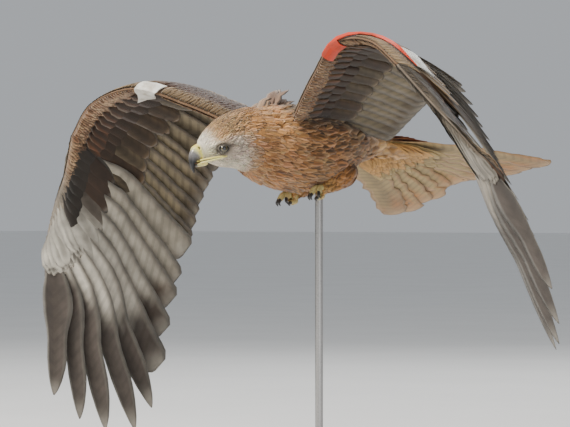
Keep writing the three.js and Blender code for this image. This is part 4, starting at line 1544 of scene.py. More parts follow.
@dataclass
class TailPlumage:
    """The forked tail, fanned and rolled with its right side low, with coverts above and below.

    Attributes:
        length: Length of the outermost feathers past their roots, in millimetres.
        fork: How much shorter the middle ones are.
        spread_right: Angle of the fan's right edge.
        spread_left: Angle of its left edge.
        droop: How far the fan points down.
        twist: How far it is rolled.
        stack: How far the middle feathers lie over the outer ones.
        seed: Where their differences come from.
    """

    length: float = 325.0
    fork: float = 62.0
    spread_right: float = math.radians(-31)
    spread_left: float = math.radians(13)
    droop: float = math.radians(9)
    twist: float = math.radians(10)
    stack: float = 9.0
    seed: int = 41

    def turned(self, vectors: Array) -> Array:
        """Roll vectors about the line of flight, then droop them, as the fan is."""
        x, z = rolled(vectors, self.twist)
        y = vectors[..., 1]
        c, s = math.cos(-self.droop), math.sin(-self.droop)
        return joined(x, y * c - z * s, y * s + z * c)

    def fan(
        self, count: int, longest: float, fork: float, width: float, lift: float,
        share: float, even: float,
    ) -> VaneSet:
        """Lay a fan of feathers: the middle ones highest, each a step under its inner neighbour.

        Args:
            count: How many.
            longest: Length of the outermost, or of the middle ones where the fork is negative.
            fork: How much shorter the middle ones are.
            width: Width.
            lift: Height of the tips over the fan.
            share: Share of the whole spread.
            even: The shortest length, as a share of the full one.

        Returns:
            The feathers.
        """
        rng = np.random.default_rng(self.seed + count + int(lift))
        k = (np.arange(count) + 0.5) / count
        angle = (self.spread_right + (self.spread_left - self.spread_right) * k) * share
        outer = np.abs(k - 0.5) * 2
        heading = self.turned(joined(np.sin(angle), np.cos(angle), 0.0))
        up = self.turned(np.array([[0.0, 0.0, 1.0]]))
        across = self.turned(np.array([[1.0, 0.0, 0.0]]))
        height = ((1 - outer) * self.stack)[:, None] * up
        root = np.array([0.0, 92.0, 7.0]) + across * ((k - 0.5) * 30)[:, None]
        length = (longest - fork * (1 - outer)) * rng.uniform(even, 1.0, count)
        tip = root + heading * length[:, None] + up * lift + height
        side = np.where(k < 0.5, -1.0, 1.0)
        return VaneSet(
            root=root + height, tip=tip, normal=np.broadcast_to(up, (count, 3)), width=width,
            bow=3.0, curl=0.0, place=joined(k, 0.5),
            twist=-side * SHINGLE * 0.3,
        )

    def build(self) -> Piece:
        """Build the tail's long feathers, then the rows of coverts over and under their roots."""
        rng = np.random.default_rng(self.seed)
        parts = MeshParts()
        web = VaneForm(
            rows=24, columns=7, thick=0.9, shoulder=0.93, root_width=0.3, camber=0.04,
            point=1.1, ragged=0.10,
        )
        count = 12
        shade = rng.normal(1.0, 0.05, count)[:, None]

        def paint(number: Array, v: Array, u: Array) -> Marks:
            """Rufous above and pale tawny below, dusky at the end and on the outermost ones."""
            outer = np.abs((number + 0.5) / count - 0.5) * 2
            end = smoothstep(v + 0.10 * np.sin(u * 4 + number), 0.72, 1.0)
            # TAIL_UNDER carries painted olive bounce light as well as the tail's own tawny.
            colour = blend(Hue.TAIL_UNDER, Hue.TAIL_TIP, end)
            colour = blend(colour, Hue.TAIL, above(web, v, u))
            dusk = 0.45 * smoothstep(outer, 0.7, 1.0) * smoothstep(v, 0.4, 1.0)
            colour = blend(colour, Hue.BACK, dusk + 0.3 * smoothstep(v, 0.88, 0.97))
            tint = four(colour * shade[number], 0.25, v.shape)
            return tint, four(Hue.BUFF, 0.6, v.shape), np.full_like(v, 0.3)

        long_fan = self.fan(count, self.length, self.fork, 38.0, 0.0, 1.0, 0.93)
        add_vanes(parts, long_fan, web, paint, rng)
        short = VaneForm(
            rows=10, columns=5, thick=0.6, shoulder=0.5, root_width=0.4, camber=0.12,
            point=1.2, ragged=0.16,
        )
        tiers = (
            (16, 150, 9.0, 25.0, Hue.RUFOUS), (20, 105, 12.0, 22.0, Hue.RUFOUS),
            # TAIL_UNDER here carries painted olive bounce light too.
            (22, 170, -6.0, 21.0, Hue.TAIL_UNDER), (26, 135, -9.0, 19.0, Hue.VENT),
            (28, 95, -12.0, 18.0, Hue.VENT),
        )
        for number, reach, lift, width, colour in tiers:
            each = colour * rng.normal(1.0, 0.1, number)[:, None]
            cover = plain_paint(each, each * 1.3, 0.45, 0.5, least=1.0)
            rounded = 0.18 * reach
            fan = self.fan(number, reach - rounded, -rounded, width, lift, 0.8, 0.78)
            add_vanes(parts, fan, short, cover, rng)
        return parts.build("tail_feathers", ("tail",))


class Tube:
    """A round form along a smooth curve, in the bird's frame or the head's."""

    def __init__(
        self, centres: Sequence, wide: Sequence[float], tall: Sequence[float], in_head: bool = False
    ) -> None:
        """Run smooth curves through the centres, the half widths and the half heights."""
        self.line = SmoothCurve(centres)
        self.wide = smooth_values(wide)
        self.tall = smooth_values(tall)
        self.in_head = in_head

    def point(
        self, t: Array, angle: Array, lift: Array | float = 0.0, power: float = 1.0
    ) -> Array:
        """Work out the surface: an ellipse square to the line, squarer where the power is below 1.

        Args:
            t: Places along the line.
            angle: Angles round it, 0 on the left and a quarter turn on top.
            lift: How far outside the form.
            power: Exponent of the ellipse's sine and cosine.

        Returns:
            The points, in the bird's frame.
        """
        heading = self.line.heading(t)
        up = unit(np.cross(np.broadcast_to([1.0, 0.0, 0.0], heading.shape), heading))
        across = np.cross(heading, up)
        c, s = np.cos(angle), np.sin(angle)
        sideways = np.sign(c) * np.abs(c) ** power * (self.wide(t) + lift)
        upward = np.sign(s) * np.abs(s) ** power * (self.tall(t) + lift)
        points = self.line.at(t) + sideways[..., None] * across - upward[..., None] * up
        return head_placed(points) if self.in_head else points

    def normal(self, t: Array, angle: Array) -> Array:
        """Return the direction straight out of the form."""
        return unit(self.point(t, angle) - self.point(t, angle, -1.0))


@dataclass
class HeadParts:
    """The bare parts of the head: bill, cere, gape, eyes and lids.

    Attributes:
        eye_radius: Radius of the eyeball.
    """

    eye_radius: float = 6.4

    UPPER: tuple = (
        (
            (0, -38, -2.2), (0, -43.5, -4), (0, -48, -8.5),
            (0, -50.6, -15), (0, -51, -22), (0, -49.8, -28),
        ),
        (8, 6.9, 5.2, 3.8, 2.2, 0.7),
        (9.8, 8.6, 6.6, 4.4, 2.5, 0.8),
    )
    LOWER: tuple = (
        ((0, -34, -17.2), (0, -40, -18.2), (0, -45.6, -19.4), (0, -47, -19.8)),
        (7.4, 6, 4.2, 2.4),
        (2.8, 2.6, 1.9, 1.1),
    )
    CERE_SHARE = 0.27
    NOSTRIL = 0.125
    NOSTRIL_ANGLE = 0.42

    def upper_points(self, t: Array, angle: Array, lift: Array | float = 0.0) -> Array:
        """Return the upper bill: rounded on top, with flat sides that draw in to a cutting edge."""
        tube = Tube(*self.UPPER, in_head=True)
        return tube.point(t, angle, lift, power=0.86)

    def upper_bill(self) -> Piece:
        """Build the horn of the upper bill, grey at its root and near black at the hook."""
        t, angle = tube_grid(60, 40, self.CERE_SHARE - 0.02, 1.0)
        colour = blend(srgb(176, 172, 138), srgb(112, 109, 108), smoothstep(t, 0.26, 0.36))
        colour = blend(colour, srgb(24, 23, 25), smoothstep(t, 0.36, 0.66))
        parts = MeshParts()
        parts.add_tube(self.upper_points(t, angle), t, angle, colour)
        return parts.build("bill_horn", ("bill_upper",), closed=True)

    def cere(self) -> Piece:
        """Build the yellow cere, swollen round two slanting nostrils, with a soft front edge."""
        t, angle = tube_grid(48, 72, 0.0, self.CERE_SHARE + 0.01)
        left, right = angle - self.NOSTRIL_ANGLE, angle - (np.pi - self.NOSTRIL_ANGLE)
        side = np.minimum(np.abs(left), np.abs(right))
        along = t - self.NOSTRIL
        hole = (along / 0.036) ** 2 + ((side - along * 3.0) / 0.17) ** 2
        swell = 0.7 * np.exp(-(hole / 6.0)) - 2.6 * np.exp(-(hole**2))
        front = 1 - smoothstep(t, self.CERE_SHARE - 0.03, self.CERE_SHARE + 0.01)
        lip = 0.55 * smoothstep(t, 0.0, 0.05) * front
        colour = blend(srgb(228, 221, 186), srgb(224, 210, 108), smoothstep(t, 0.02, 0.16))
        colour = blend(colour, srgb(186, 180, 136), smoothstep(t, 0.19, 0.28))
        colour = blend(colour, srgb(40, 34, 20), np.exp(-(hole**2) * 0.8))
        parts = MeshParts()
        parts.add_tube(self.upper_points(t, angle, lip + swell), t, angle, colour)
        return parts.build("cere_skin", ("cere",), closed=True)

    def lower_bill(self) -> Piece:
        """Build the lower bill: yellow at its root, pale horn towards its blunt end."""
        t, angle = tube_grid(36, 32)
        tube = Tube(*self.LOWER, in_head=True)
        colour = blend(srgb(218, 206, 128), srgb(96, 92, 84), smoothstep(t, 0.35, 0.9))
        parts = MeshParts()
        parts.add_tube(tube.point(t, angle, power=0.8), t, angle, colour)
        return parts.build("bill_low", ("bill_lower",), closed=True)

    def gape(self) -> Piece:
        """Build the mouth's corners: on each side two yellow lips with a dark line between."""
        parts = MeshParts()
        t, angle = tube_grid(40, 14)
        y = np.linspace(-43.5, -13.5, 9)
        share = (y + 43.5) / 30.0
        lips = (
            (1.6, 1.15, 0.5, srgb(222, 208, 118)),
            (-1.5, 1.1, 0.5, srgb(220, 210, 140)),
            (0.05, 1.1, -0.1, srgb(38, 26, 14)),
        )
        for sign in (1.0, -1.0):
            for offset, thick, outward, colour in lips:
                x = 6.6 + 13.6 * share**0.75 + outward
                z = -15.6 + 3.4 * share + offset * (1.0 - 0.75 * share**2)
                radii = thick * (0.75 + 0.35 * np.sin(np.pi * share)) * (1 - 0.55 * share**3)
                centres = joined(sign * x, y, z)
                tube = Tube(centres, radii * 0.9, radii, in_head=True)
                parts.add_tube(tube.point(t, angle), t, angle, colour)
        return parts.build("gape_lips", closed=True)

    def eye_axes(self, sign: float) -> tuple[Array, Array, Array, Array]:
        """Return the eye's centre, its outward axis and two directions square to that axis."""
        centre = np.array(BodySkin.EYE) * np.array([sign, 1.0, 1.0])
        axis = unit(np.array([sign * 0.94, -0.30, -0.04]))
        along = unit(np.cross(np.array([0.0, 0.0, 1.0]), axis))
        return centre, axis, along, np.cross(axis, along)

    def eyeball(self, side: Side) -> Piece:
        """Build an eye: pupil, pale iris and dark rim are rings by the angle from the axis.

        Args:
            side: Which eye.

        Returns:
            The piece.
        """
        centre, axis, along, up = self.eye_axes(side.value)
        share, turn = tube_grid(72, 64)
        polar = share**1.2 * np.pi
        bulge = self.eye_radius * (1.0 + 0.05 * np.exp(-((polar / 0.5) ** 2)))
        radial = np.cos(turn)[..., None] * along + np.sin(turn)[..., None] * up
        outward = np.sin(polar)[..., None] * radial + np.cos(polar)[..., None] * axis
        points = head_placed(centre + outward * bulge[..., None])
        iris = blend(srgb(70, 62, 42), srgb(100, 90, 62), smoothstep(polar, 0.38, 0.58))
        flecks = 1.0 + 0.10 * np.sin(turn * 17.0) * np.sin(turn * 5.0 + polar * 9.0)
        colour = blend(srgb(12, 11, 10), iris * flecks[..., None], smoothstep(polar, 0.36, 0.39))
        colour = blend(colour, srgb(22, 19, 16), smoothstep(polar, 0.60, 0.68))
        parts = MeshParts()
        place = joined(polar / np.pi, turn / (2 * np.pi))
        parts.add_plain(points, colour, polar, place)
        return parts.build(f"eyeball_{side.word}", (f"eye_{side.word}",), closed=True)

    def lid_ring(self, side: Side) -> Piece:
        """Build the two lids as one almond ring, flatter above and pulled to a corner behind.

        Args:
            side: Which eye.

        Returns:
            The piece.
        """
        centre, axis, along, up = self.eye_axes(side.value)
        rows, columns = 96, 18
        turn = np.linspace(0, 2 * np.pi, rows, endpoint=False)[:, None] * np.ones((1, columns))
        _, section = tube_grid(rows, columns)
        back = np.abs(np.cos(turn))
        top, bottom = np.maximum(np.sin(turn), 0), np.maximum(-np.sin(turn), 0)
        opening = 4.1 + 1.2 * back**3 - 2.2 * top**2 - 0.5 * bottom**2
        thick = 1.0 + 0.45 * top
        depth = 4.3 - 1.0 * back**2 + 0.6 * top
        radial = np.cos(turn)[..., None] * along + np.sin(turn)[..., None] * up
        points = centre + radial * (opening + thick + thick * np.cos(section))[..., None]
        points = head_placed(points + axis * (depth + thick * np.sin(section))[..., None])
        shade = smoothstep(np.cos(section), -0.9, 0.4)
        colour = blend(srgb(34, 31, 28), srgb(92, 85, 76), shade)
        faces = grid_faces(rows + 1, columns, wrap=True) % (rows * columns)
        parts = MeshParts()
        place = joined(turn / (2 * np.pi), section / (2 * np.pi))
        parts.add_plain(points, colour, turn, place, faces=faces)
        return parts.build(f"lids_{side.word}", closed=True)


def raised(*heights: float) -> Array:
    """Return steps straight up, one for each height."""
    return np.array([[0.0, 0.0, height] for height in heights])


@dataclass
class Leg:
    """One leg: feathered thigh, scaled toes drawn up under the belly, and hooked claws.

    Attributes:
        side: Which leg.
        seed: Where its differences come from.
    """

    side: Side
    seed: int = 71

    THIGH: tuple = (
        ((30, 26, -30), (31, 14, -38), (29, -6, -46), (26, -22, -54)),
        (15, 14, 10, 5),
        (15, 14, 10, 5),
    )
    THIGH_LENGTH: float = 62.0
    ANKLE: Triple = (26.0, -22.0, -54.0)
    TOES: tuple = ((-0.35, 18.0, -5.0), (0.0, 22.0, -6.0), (0.4, 18.0, -5.0))
    SCUTE: float = 2.6

    def paths(self) -> list[Array]:
        """Return the three front toes' and the hind toe's lines, three points each."""
        ankle = np.array(self.ANKLE)
        lines = []
        for lean, reach, drop in self.TOES:
            ahead = np.array([math.sin(lean), -math.cos(lean), 0.0]) * reach
            start = ankle + np.array([0.0, -2.0, 0.0])
            lines.append(start + np.stack([ahead * 0, ahead * 0.65, ahead]) + raised(0, 1, drop))
        steps = np.array([[-3.0, 1.0, -1.0], [-4.0, -1.0, -8.0], [-4.0, -9.0, -10.0]])
        return [*lines, ankle + steps]

    def thigh_coat(self) -> Piece:
        """Build the thigh: a smooth core with rows of soft feathers that point to the foot."""
        rng = np.random.default_rng(self.seed)
        core = Tube(*self.THIGH)
        parts = MeshParts()
        t, angle = tube_grid(30, 28, 0.0, 0.93)
        parts.add_tube(core.point(t, angle, -2.5), t, angle, Hue.BELLY * 0.7)
        rows = []
        for number, place in enumerate(np.arange(0.0, 0.95, 0.052)):
            count = int(34 - 18 * place)
            angles = (np.arange(count) + 0.5 * (number % 2)) * 2 * np.pi / count
            angles = angles + rng.normal(0, 0.05, count)
            rows.append(joined(place + rng.normal(0, 0.01, count), angles))
        spots = np.concatenate(rows)
        place, angle = np.clip(spots[:, 0], 0, 0.95), spots[:, 1]
        length = (27 - 15 * place) * rng.uniform(0.85, 1.15, len(place))
        far = np.minimum(place + length / self.THIGH_LENGTH, 1.0)
        overrun = np.clip(length - (far - place) * self.THIGH_LENGTH, 0, None)
        outward = core.normal(place, angle)
        tip = core.point(far, angle, 0.8) + core.line.heading(far) * overrun[:, None]
        tip = tip + np.abs(rng.normal(0, 1.0, len(place)))[:, None] * outward
        vanes = VaneSet(
            root=core.point(place, angle, -2.8), tip=tip, normal=outward, width=length * 0.52,
            bow=length * 0.06, curl=length * 0.05,
            place=joined(place, np.mod(angle / (2 * np.pi), 1)),
            twist=rng.normal(0, 0.15, len(place)),
        )
        shades = rng.normal(1.0, 0.12, len(place))[:, None]
        colour = blend(Hue.BREAST, Hue.VENT, smoothstep(place, 0.2, 0.9)) * shades
        paint = plain_paint(colour, colour * 1.3, 0.4, 0.4)
        form = VaneForm(rows=6, columns=3, thick=0.4, shoulder=0.5, camber=0.3, ragged=0.12)
        add_vanes(parts, vanes, form, paint, rng)
        log.info("thigh %s: %d feathers", self.side.word, len(place))
        word = self.side.word
        return parts.build(f"thigh_coat_{word}", (f"thigh_{word}",), self.side)

    def foot_skin(self) -> Piece:
        """Build the toes and the short shank, ringed by scutes: a rectified sine along each."""
        parts = MeshParts()
        t, angle = tube_grid(90, 22)
        knee = Tube(*self.THIGH).line.at(np.array(0.7))
        foot = np.array(self.ANKLE) + np.array([0, -3.0, 0])
        shank = np.stack([knee, (knee + foot) * 0.5, foot])
        forms = [(shank, (4.0, 4.2, 4.4))] + [(line, (3.8, 3.4, 2.6)) for line in self.paths()]
        for points, radii in forms:
            tube = Tube(points, radii, radii)
            length = float(np.sum(np.linalg.norm(np.diff(points, axis=0), axis=-1)))
            scutes = np.abs(np.sin(t * np.pi * length / self.SCUTE)) ** 0.5
            top = smoothstep(np.sin(angle), -0.1, 0.5)
            pad = smoothstep(-np.sin(angle), 0.2, 0.9) * np.abs(np.sin(t * np.pi * 3.0)) * 0.9
            lift = (scutes - 0.8) * 0.45 * top + pad
            groove = 1.0 - 0.45 * (1.0 - scutes) * top
            colour = np.array(srgb(206, 188, 128)) * groove[..., None]
            colour = blend(colour, srgb(150, 122, 70), 0.3 * (1 - top))
            parts.add_tube(tube.point(t, angle, lift), t, angle, colour)
        word = self.side.word
        return parts.build(f"toes_{word}", (f"foot_{word}",), self.side)

    def claws(self) -> list[Piece]:
        """Build the four claws, each tapering along a hook that starts inside its toe."""
        pieces = []
        for number, line in enumerate(self.paths(), start=1):
            toe = SmoothCurve(line)
            end = toe.at(np.array(1.0))
            heading = toe.heading(np.array(0.999))
            curl = np.array([0.0, 0.75, -0.3])
            middle = end + heading * 5.3 + curl * 1.5
            tip = middle + heading * 3 + curl * 6
            tube = Tube([end - heading, middle, tip], (2.3, 1.7, 0.35), (2.5, 1.9, 0.35))
            t, angle = tube_grid(40, 20)
            colour = blend(srgb(58, 54, 52), srgb(24, 22, 22), t)
            parts = MeshParts()
            parts.add_tube(tube.point(t, angle), t, angle, colour)
            name, node = (f"{word}_{number}_{self.side.word}" for word in ("claw_horn", "claw"))
            pieces.append(parts.build(name, (node,), self.side))
        return pieces


class Socket(Enum):
    """Names of the surface shader's inputs that finishes set."""

    BASE = "Base Color"
    ROUGHNESS = "Roughness"
    SPECULAR = "Specular IOR Level"
    SHEEN = "Sheen Weight"
    SHEEN_ROUGHNESS = "Sheen Roughness"
    COAT = "Coat Weight"
    COAT_ROUGHNESS = "Coat Roughness"
    METALLIC = "Metallic"
    SUBSURFACE = "Subsurface Weight"
    SUBSURFACE_SCALE = "Subsurface Scale"
    NORMAL = "Normal"


class Graph:
    """A material's node tree, with short ways to add and join its nodes."""

    def __init__(self, name: str) -> None:
        """Start a material with one surface shader."""
        self.material = bpy.data.materials.new(name)
        self.material.use_nodes = True
        self.tree = self.material.node_tree
        self.tree.nodes.clear()
        self.shader = self.node("ShaderNodeBsdfPrincipled")
        self.node("ShaderNodeOutputMaterial", {"Surface": self.shader.outputs[0]})

    def node(
        self, kind: str, feeds: dict[int | str, object] | None = None, **settings: object
    ) -> bpy.types.Node:
        """Add a node.

        Args:
            kind: The node's type.
            feeds: What goes into its inputs, by their name or number.
            settings: Its properties.

        Returns:
            The node.
        """
        made = self.tree.nodes.new(kind)
        for key, value in settings.items():
            setattr(made, key, value)
        for key, value in (feeds or {}).items():
            self.feed(value, made.inputs[key])
        return made

    def feed(self, value: object, target: Output) -> None:
        """Link a socket to an input, or set a plain value."""
        if isinstance(value, bpy.types.NodeSocket):
            self.tree.links.new(value, target)
        else:
            target.default_value = value

    def math(self, operation: str, first: object, second: object = 0.0) -> Output:
        """Add one sum and return its output."""
        return self.node("ShaderNodeMath", {0: first, 1: second}, operation=operation).outputs[0]

    def times(self, first: object, second: object) -> Output:
        """Multiply two values."""
        return self.math("MULTIPLY", first, second)

    def rise(
        self, value: object, low: float, high: float, to_low: float = 0.0, to_high: float = 1.0
    ) -> Output:
        """Map a value smoothly from one range to another."""
        feeds = {0: value, 1: low, 2: high, 3: to_low, 4: to_high}
        made = self.node("ShaderNodeMapRange", feeds, interpolation_type="SMOOTHSTEP")
        return made.outputs[0]

    def mix(self, weight: object, first: object, second: object, way: str = "MIX") -> Output:
        """Mix two colours and return the result."""
        feeds = {0: weight, 6: first, 7: second}
        return self.node("ShaderNodeMix", feeds, data_type="RGBA", blend_type=way).outputs[2]

    def attribute(self, name: str) -> bpy.types.Node:
        """Add a reader of a mesh attribute."""
        return self.node("ShaderNodeAttribute", attribute_type="GEOMETRY", attribute_name=name)

    def split(self, colour: Output) -> Sequence[Output]:
        """Split a colour into its three values."""
        return self.node("ShaderNodeSeparateColor", {0: colour}).outputs

    def place(self) -> Output:
        """Return the place in the object's own coordinates."""
        return self.node("ShaderNodeTexCoord").outputs["Object"]

    def noise(self, scale: float, detail: float = 3.0, roughness: float = 0.5) -> Output:
        """Add noise in the object's own coordinates and return its value."""
        feeds = {"Vector": self.place(), "Scale": scale, "Detail": detail, "Roughness": roughness}
        return self.node("ShaderNodeTexNoise", feeds).outputs[0]

    def bump(self, height: object, strength: float, distance: float) -> None:
        """Feed a height into the shader's normal."""
        feeds = {"Height": height, "Strength": strength, "Distance": distance}
        self.set(NORMAL=self.node("ShaderNodeBump", feeds).outputs[0])

    def set(self, **values: object) -> None:
        """Set or link the shader's inputs, by the names in Socket."""
        for name, value in values.items():
            self.feed(value, self.shader.inputs[Socket[name].value])


BAR_PITCH = 42.0
BARB_PITCH = 560.0


@dataclass(frozen=True)
class Finish:
    """How a surface is made that carries its colours as point attributes.

    Attributes:
        name: The material's name.
        roughness: Roughness of the surface.
        specular: Strength of its reflection.
        sheen: Strength of its soft edge light.
        coat: Strength of a clear layer over it.
        subsurface: How much light passes under it.
        feather: Whether shafts, fringes, bars and barbs are drawn.
        speckle: How strongly its colour varies, at the scale below.
        speckle_scale: Size of the variation.
        bump: Height of its grain, in metres.
    """

    name: str
    roughness: float = 0.7
    specular: float = 0.25
    sheen: float = 0.0
    coat: float = 0.0
    subsurface: float = 0.0
    feather: bool = False
    speckle: float = 0.1
    speckle_scale: float = 60.0
    bump: float = 0.0002

    def build(self) -> Material:
        """Make the material.

        Returns:
            The material.
        """
        graph = Graph(self.name)
        tint = graph.attribute("Tint")
        colour = tint.outputs["Color"]
        if self.feather:
            colour, barbs = self.feather_marks(graph, colour, tint.outputs["Alpha"])
            graph.bump(barbs, 0.35, self.bump)
        else:
            graph.bump(graph.noise(self.speckle_scale * 14, 4.0, 0.6), 0.5, self.bump)
        spots = graph.noise(self.speckle_scale)
        shade = graph.rise(spots, 0.3, 0.7, 1.0 - self.speckle, 1.0 + self.speckle)
        grey = graph.node("ShaderNodeCombineColor", {0: shade, 1: shade, 2: shade})
        colour = graph.mix(1.0, colour, grey.outputs[0], "MULTIPLY")
        graph.set(
            BASE=colour, ROUGHNESS=self.roughness, SPECULAR=self.specular,
            SHEEN=self.sheen, SHEEN_ROUGHNESS=0.5, COAT=self.coat, COAT_ROUGHNESS=0.05,
            SUBSURFACE=self.subsurface, SUBSURFACE_SCALE=0.002,
        )
        return graph.material

    @staticmethod
    def feather_marks(graph: Graph, colour: Output, streak: Output) -> tuple[Output, Output]:
        """Draw bars, the dark streak beside the shaft, and the lighter fringe.

        The streak falls off from the shaft and fades at the root; the fringe rises at the two edges
        and at the tip; bars are a sine of the barb coordinate, which runs slanting off the shaft.

        Args:
            graph: The material's nodes.
            colour: The base colour.
            streak: The streak's strength.

        Returns:
            The marked colour and the barbs' height.
        """
        fringe = graph.attribute("Fringe")
        vane = graph.attribute("Vane")
        across, along, barb = graph.split(vane.outputs["Color"])[:3]
        off_shaft = graph.times(graph.math("ABSOLUTE", graph.math("SUBTRACT", across, 0.5)), 2.0)
        wave = graph.math("SINE", graph.times(barb, BAR_PITCH))
        bars = graph.times(graph.rise(wave, 0.1, 0.7), vane.outputs["Alpha"])
        colour = graph.mix(graph.times(bars, 0.75), colour, (0.018, 0.013, 0.009, 1.0))
        near = graph.rise(off_shaft, 0.12, 0.52, 1.0, 0.0)
        dark = graph.times(graph.times(near, streak), graph.rise(along, 0.98, 0.7))
        colour = graph.mix(dark, colour, (0.022, 0.015, 0.010, 1.0))
        rim = graph.math("MAXIMUM", graph.rise(off_shaft, 0.62, 1.0), graph.rise(along, 0.86, 1.0))
        edge = graph.times(rim, fringe.outputs["Alpha"])
        colour = graph.mix(edge, colour, fringe.outputs["Color"])
        fine = graph.math("SINE", graph.times(barb, BARB_PITCH))
        colour = graph.mix(graph.rise(fine, -1.0, 1.0, 0.0, 0.10), colour, (0.0, 0.0, 0.0, 1.0))
        return colour, fine


def feathered(
    name: str, roughness: float, specular: float, sheen: float, speckle: float, scale: float
) -> Finish:
    """Return the finish of one kind of feather, with its markings drawn."""
    return Finish(
        name, roughness, specular, sheen, feather=True, speckle=speckle, speckle_scale=scale
    )


@dataclass(frozen=True)
class Finishes:
    """Every material of the model and its stand."""

    plumage: Finish = feathered("plumage", 0.74, 0.2, 0.25, 0.16, 38)
    head: Finish = feathered("head_plumage", 0.74, 0.2, 0.25, 0.12, 110)
    flight: Finish = feathered("flight_feathers", 0.6, 0.3, 0.12, 0.18, 46)
    tail: Finish = feathered("tail_feathers", 0.62, 0.3, 0.12, 0.12, 40)
    cere: Finish = Finish(
        "cere", 0.42, 0.45, coat=0.15, subsurface=0.15, speckle=0.08, speckle_scale=500
    )
    horn: Finish = Finish(
        "horn", 0.28, 0.5, coat=0.25, speckle=0.15, speckle_scale=420, bump=0.00008
    )
    eye: Finish = Finish("eye", 0.2, 0.5, coat=1.0, speckle=0.02, speckle_scale=300, bump=0.0)
    lids: Finish = Finish("lids", 0.55, 0.4, speckle=0.15, speckle_scale=700, bump=0.0003)
    foot: Finish = Finish("foot_skin", 0.5, 0.4, subsurface=0.1, speckle=0.1, speckle_scale=380)


def vinyl(name: str, colour: Triple, worn: Triple) -> Material:
    """Make a wing tag's coated cloth: a fine weave under a worn, slightly soiled colour.

    Args:
        name: The material's name.
        colour: Its colour where clean.
        worn: Its colour where worn.

    Returns:
        The material.
    """
    graph = Graph(name)
    dirt = graph.rise(graph.noise(55.0, 5.0, 0.65), 0.42, 0.72, 0.0, 0.75)
    base = graph.mix(dirt, (*colour, 1.0), (*worn, 1.0))
    graph.bump(graph.noise(1800.0, 1.0), 0.3, 0.0002)
    graph.set(BASE=base, ROUGHNESS=graph.rise(dirt, 0.0, 1.0, 0.42, 0.62), SPECULAR=0.4, COAT=0.1)
    return graph.material


def turned_wood() -> Material:
    """Make the base's dark oiled wood: rings of noise stretched along one way, with fine pores."""
    graph = Graph("stand_wood")
    stretch = {"Vector": graph.place(), "Scale": (2.0, 22.0, 22.0)}
    along = graph.node("ShaderNodeMapping", stretch).outputs[0]
    waves = {"Vector": along, "Scale": 3.0, "Detail": 6.0, "Distortion": 0.8}
    rings = graph.node("ShaderNodeTexNoise", waves).outputs[0]
    grain = graph.rise(rings, 0.35, 0.65)
    base = graph.mix(grain, (*srgb(64, 42, 28), 1.0), (*srgb(112, 78, 52), 1.0))
    graph.bump(rings, 0.2, 0.0004)
    gloss = graph.rise(grain, 0.0, 1.0, 0.34, 0.46)
    graph.set(BASE=base, ROUGHNESS=gloss, SPECULAR=0.45, COAT=0.25)
    return graph.material


def brushed_steel() -> Material:
    """Make the rod's metal, with a fine grain that varies its roughness."""
    graph = Graph("stand_metal")
    grain = graph.noise(900.0, 2.0)
    base = graph.mix(grain, (0.42, 0.41, 0.40, 1.0), (0.52, 0.51, 0.50, 1.0))
    graph.set(BASE=base, METALLIC=1.0, ROUGHNESS=graph.rise(grain, 0.3, 0.7, 0.26, 0.36))
    return graph.material


def floor_paint() -> Material:
    """Make the pale floor's paint."""
    graph = Graph("floor_paint")
    shade = graph.rise(graph.noise(3.0, 4.0), 0.3, 0.7)
    base = graph.mix(shade, (0.80, 0.80, 0.79, 1.0), (0.83, 0.83, 0.82, 1.0))
    graph.set(BASE=base, ROUGHNESS=0.75, SPECULAR=0.2)
    return graph.material


LIT_HEIGHT = 0.4


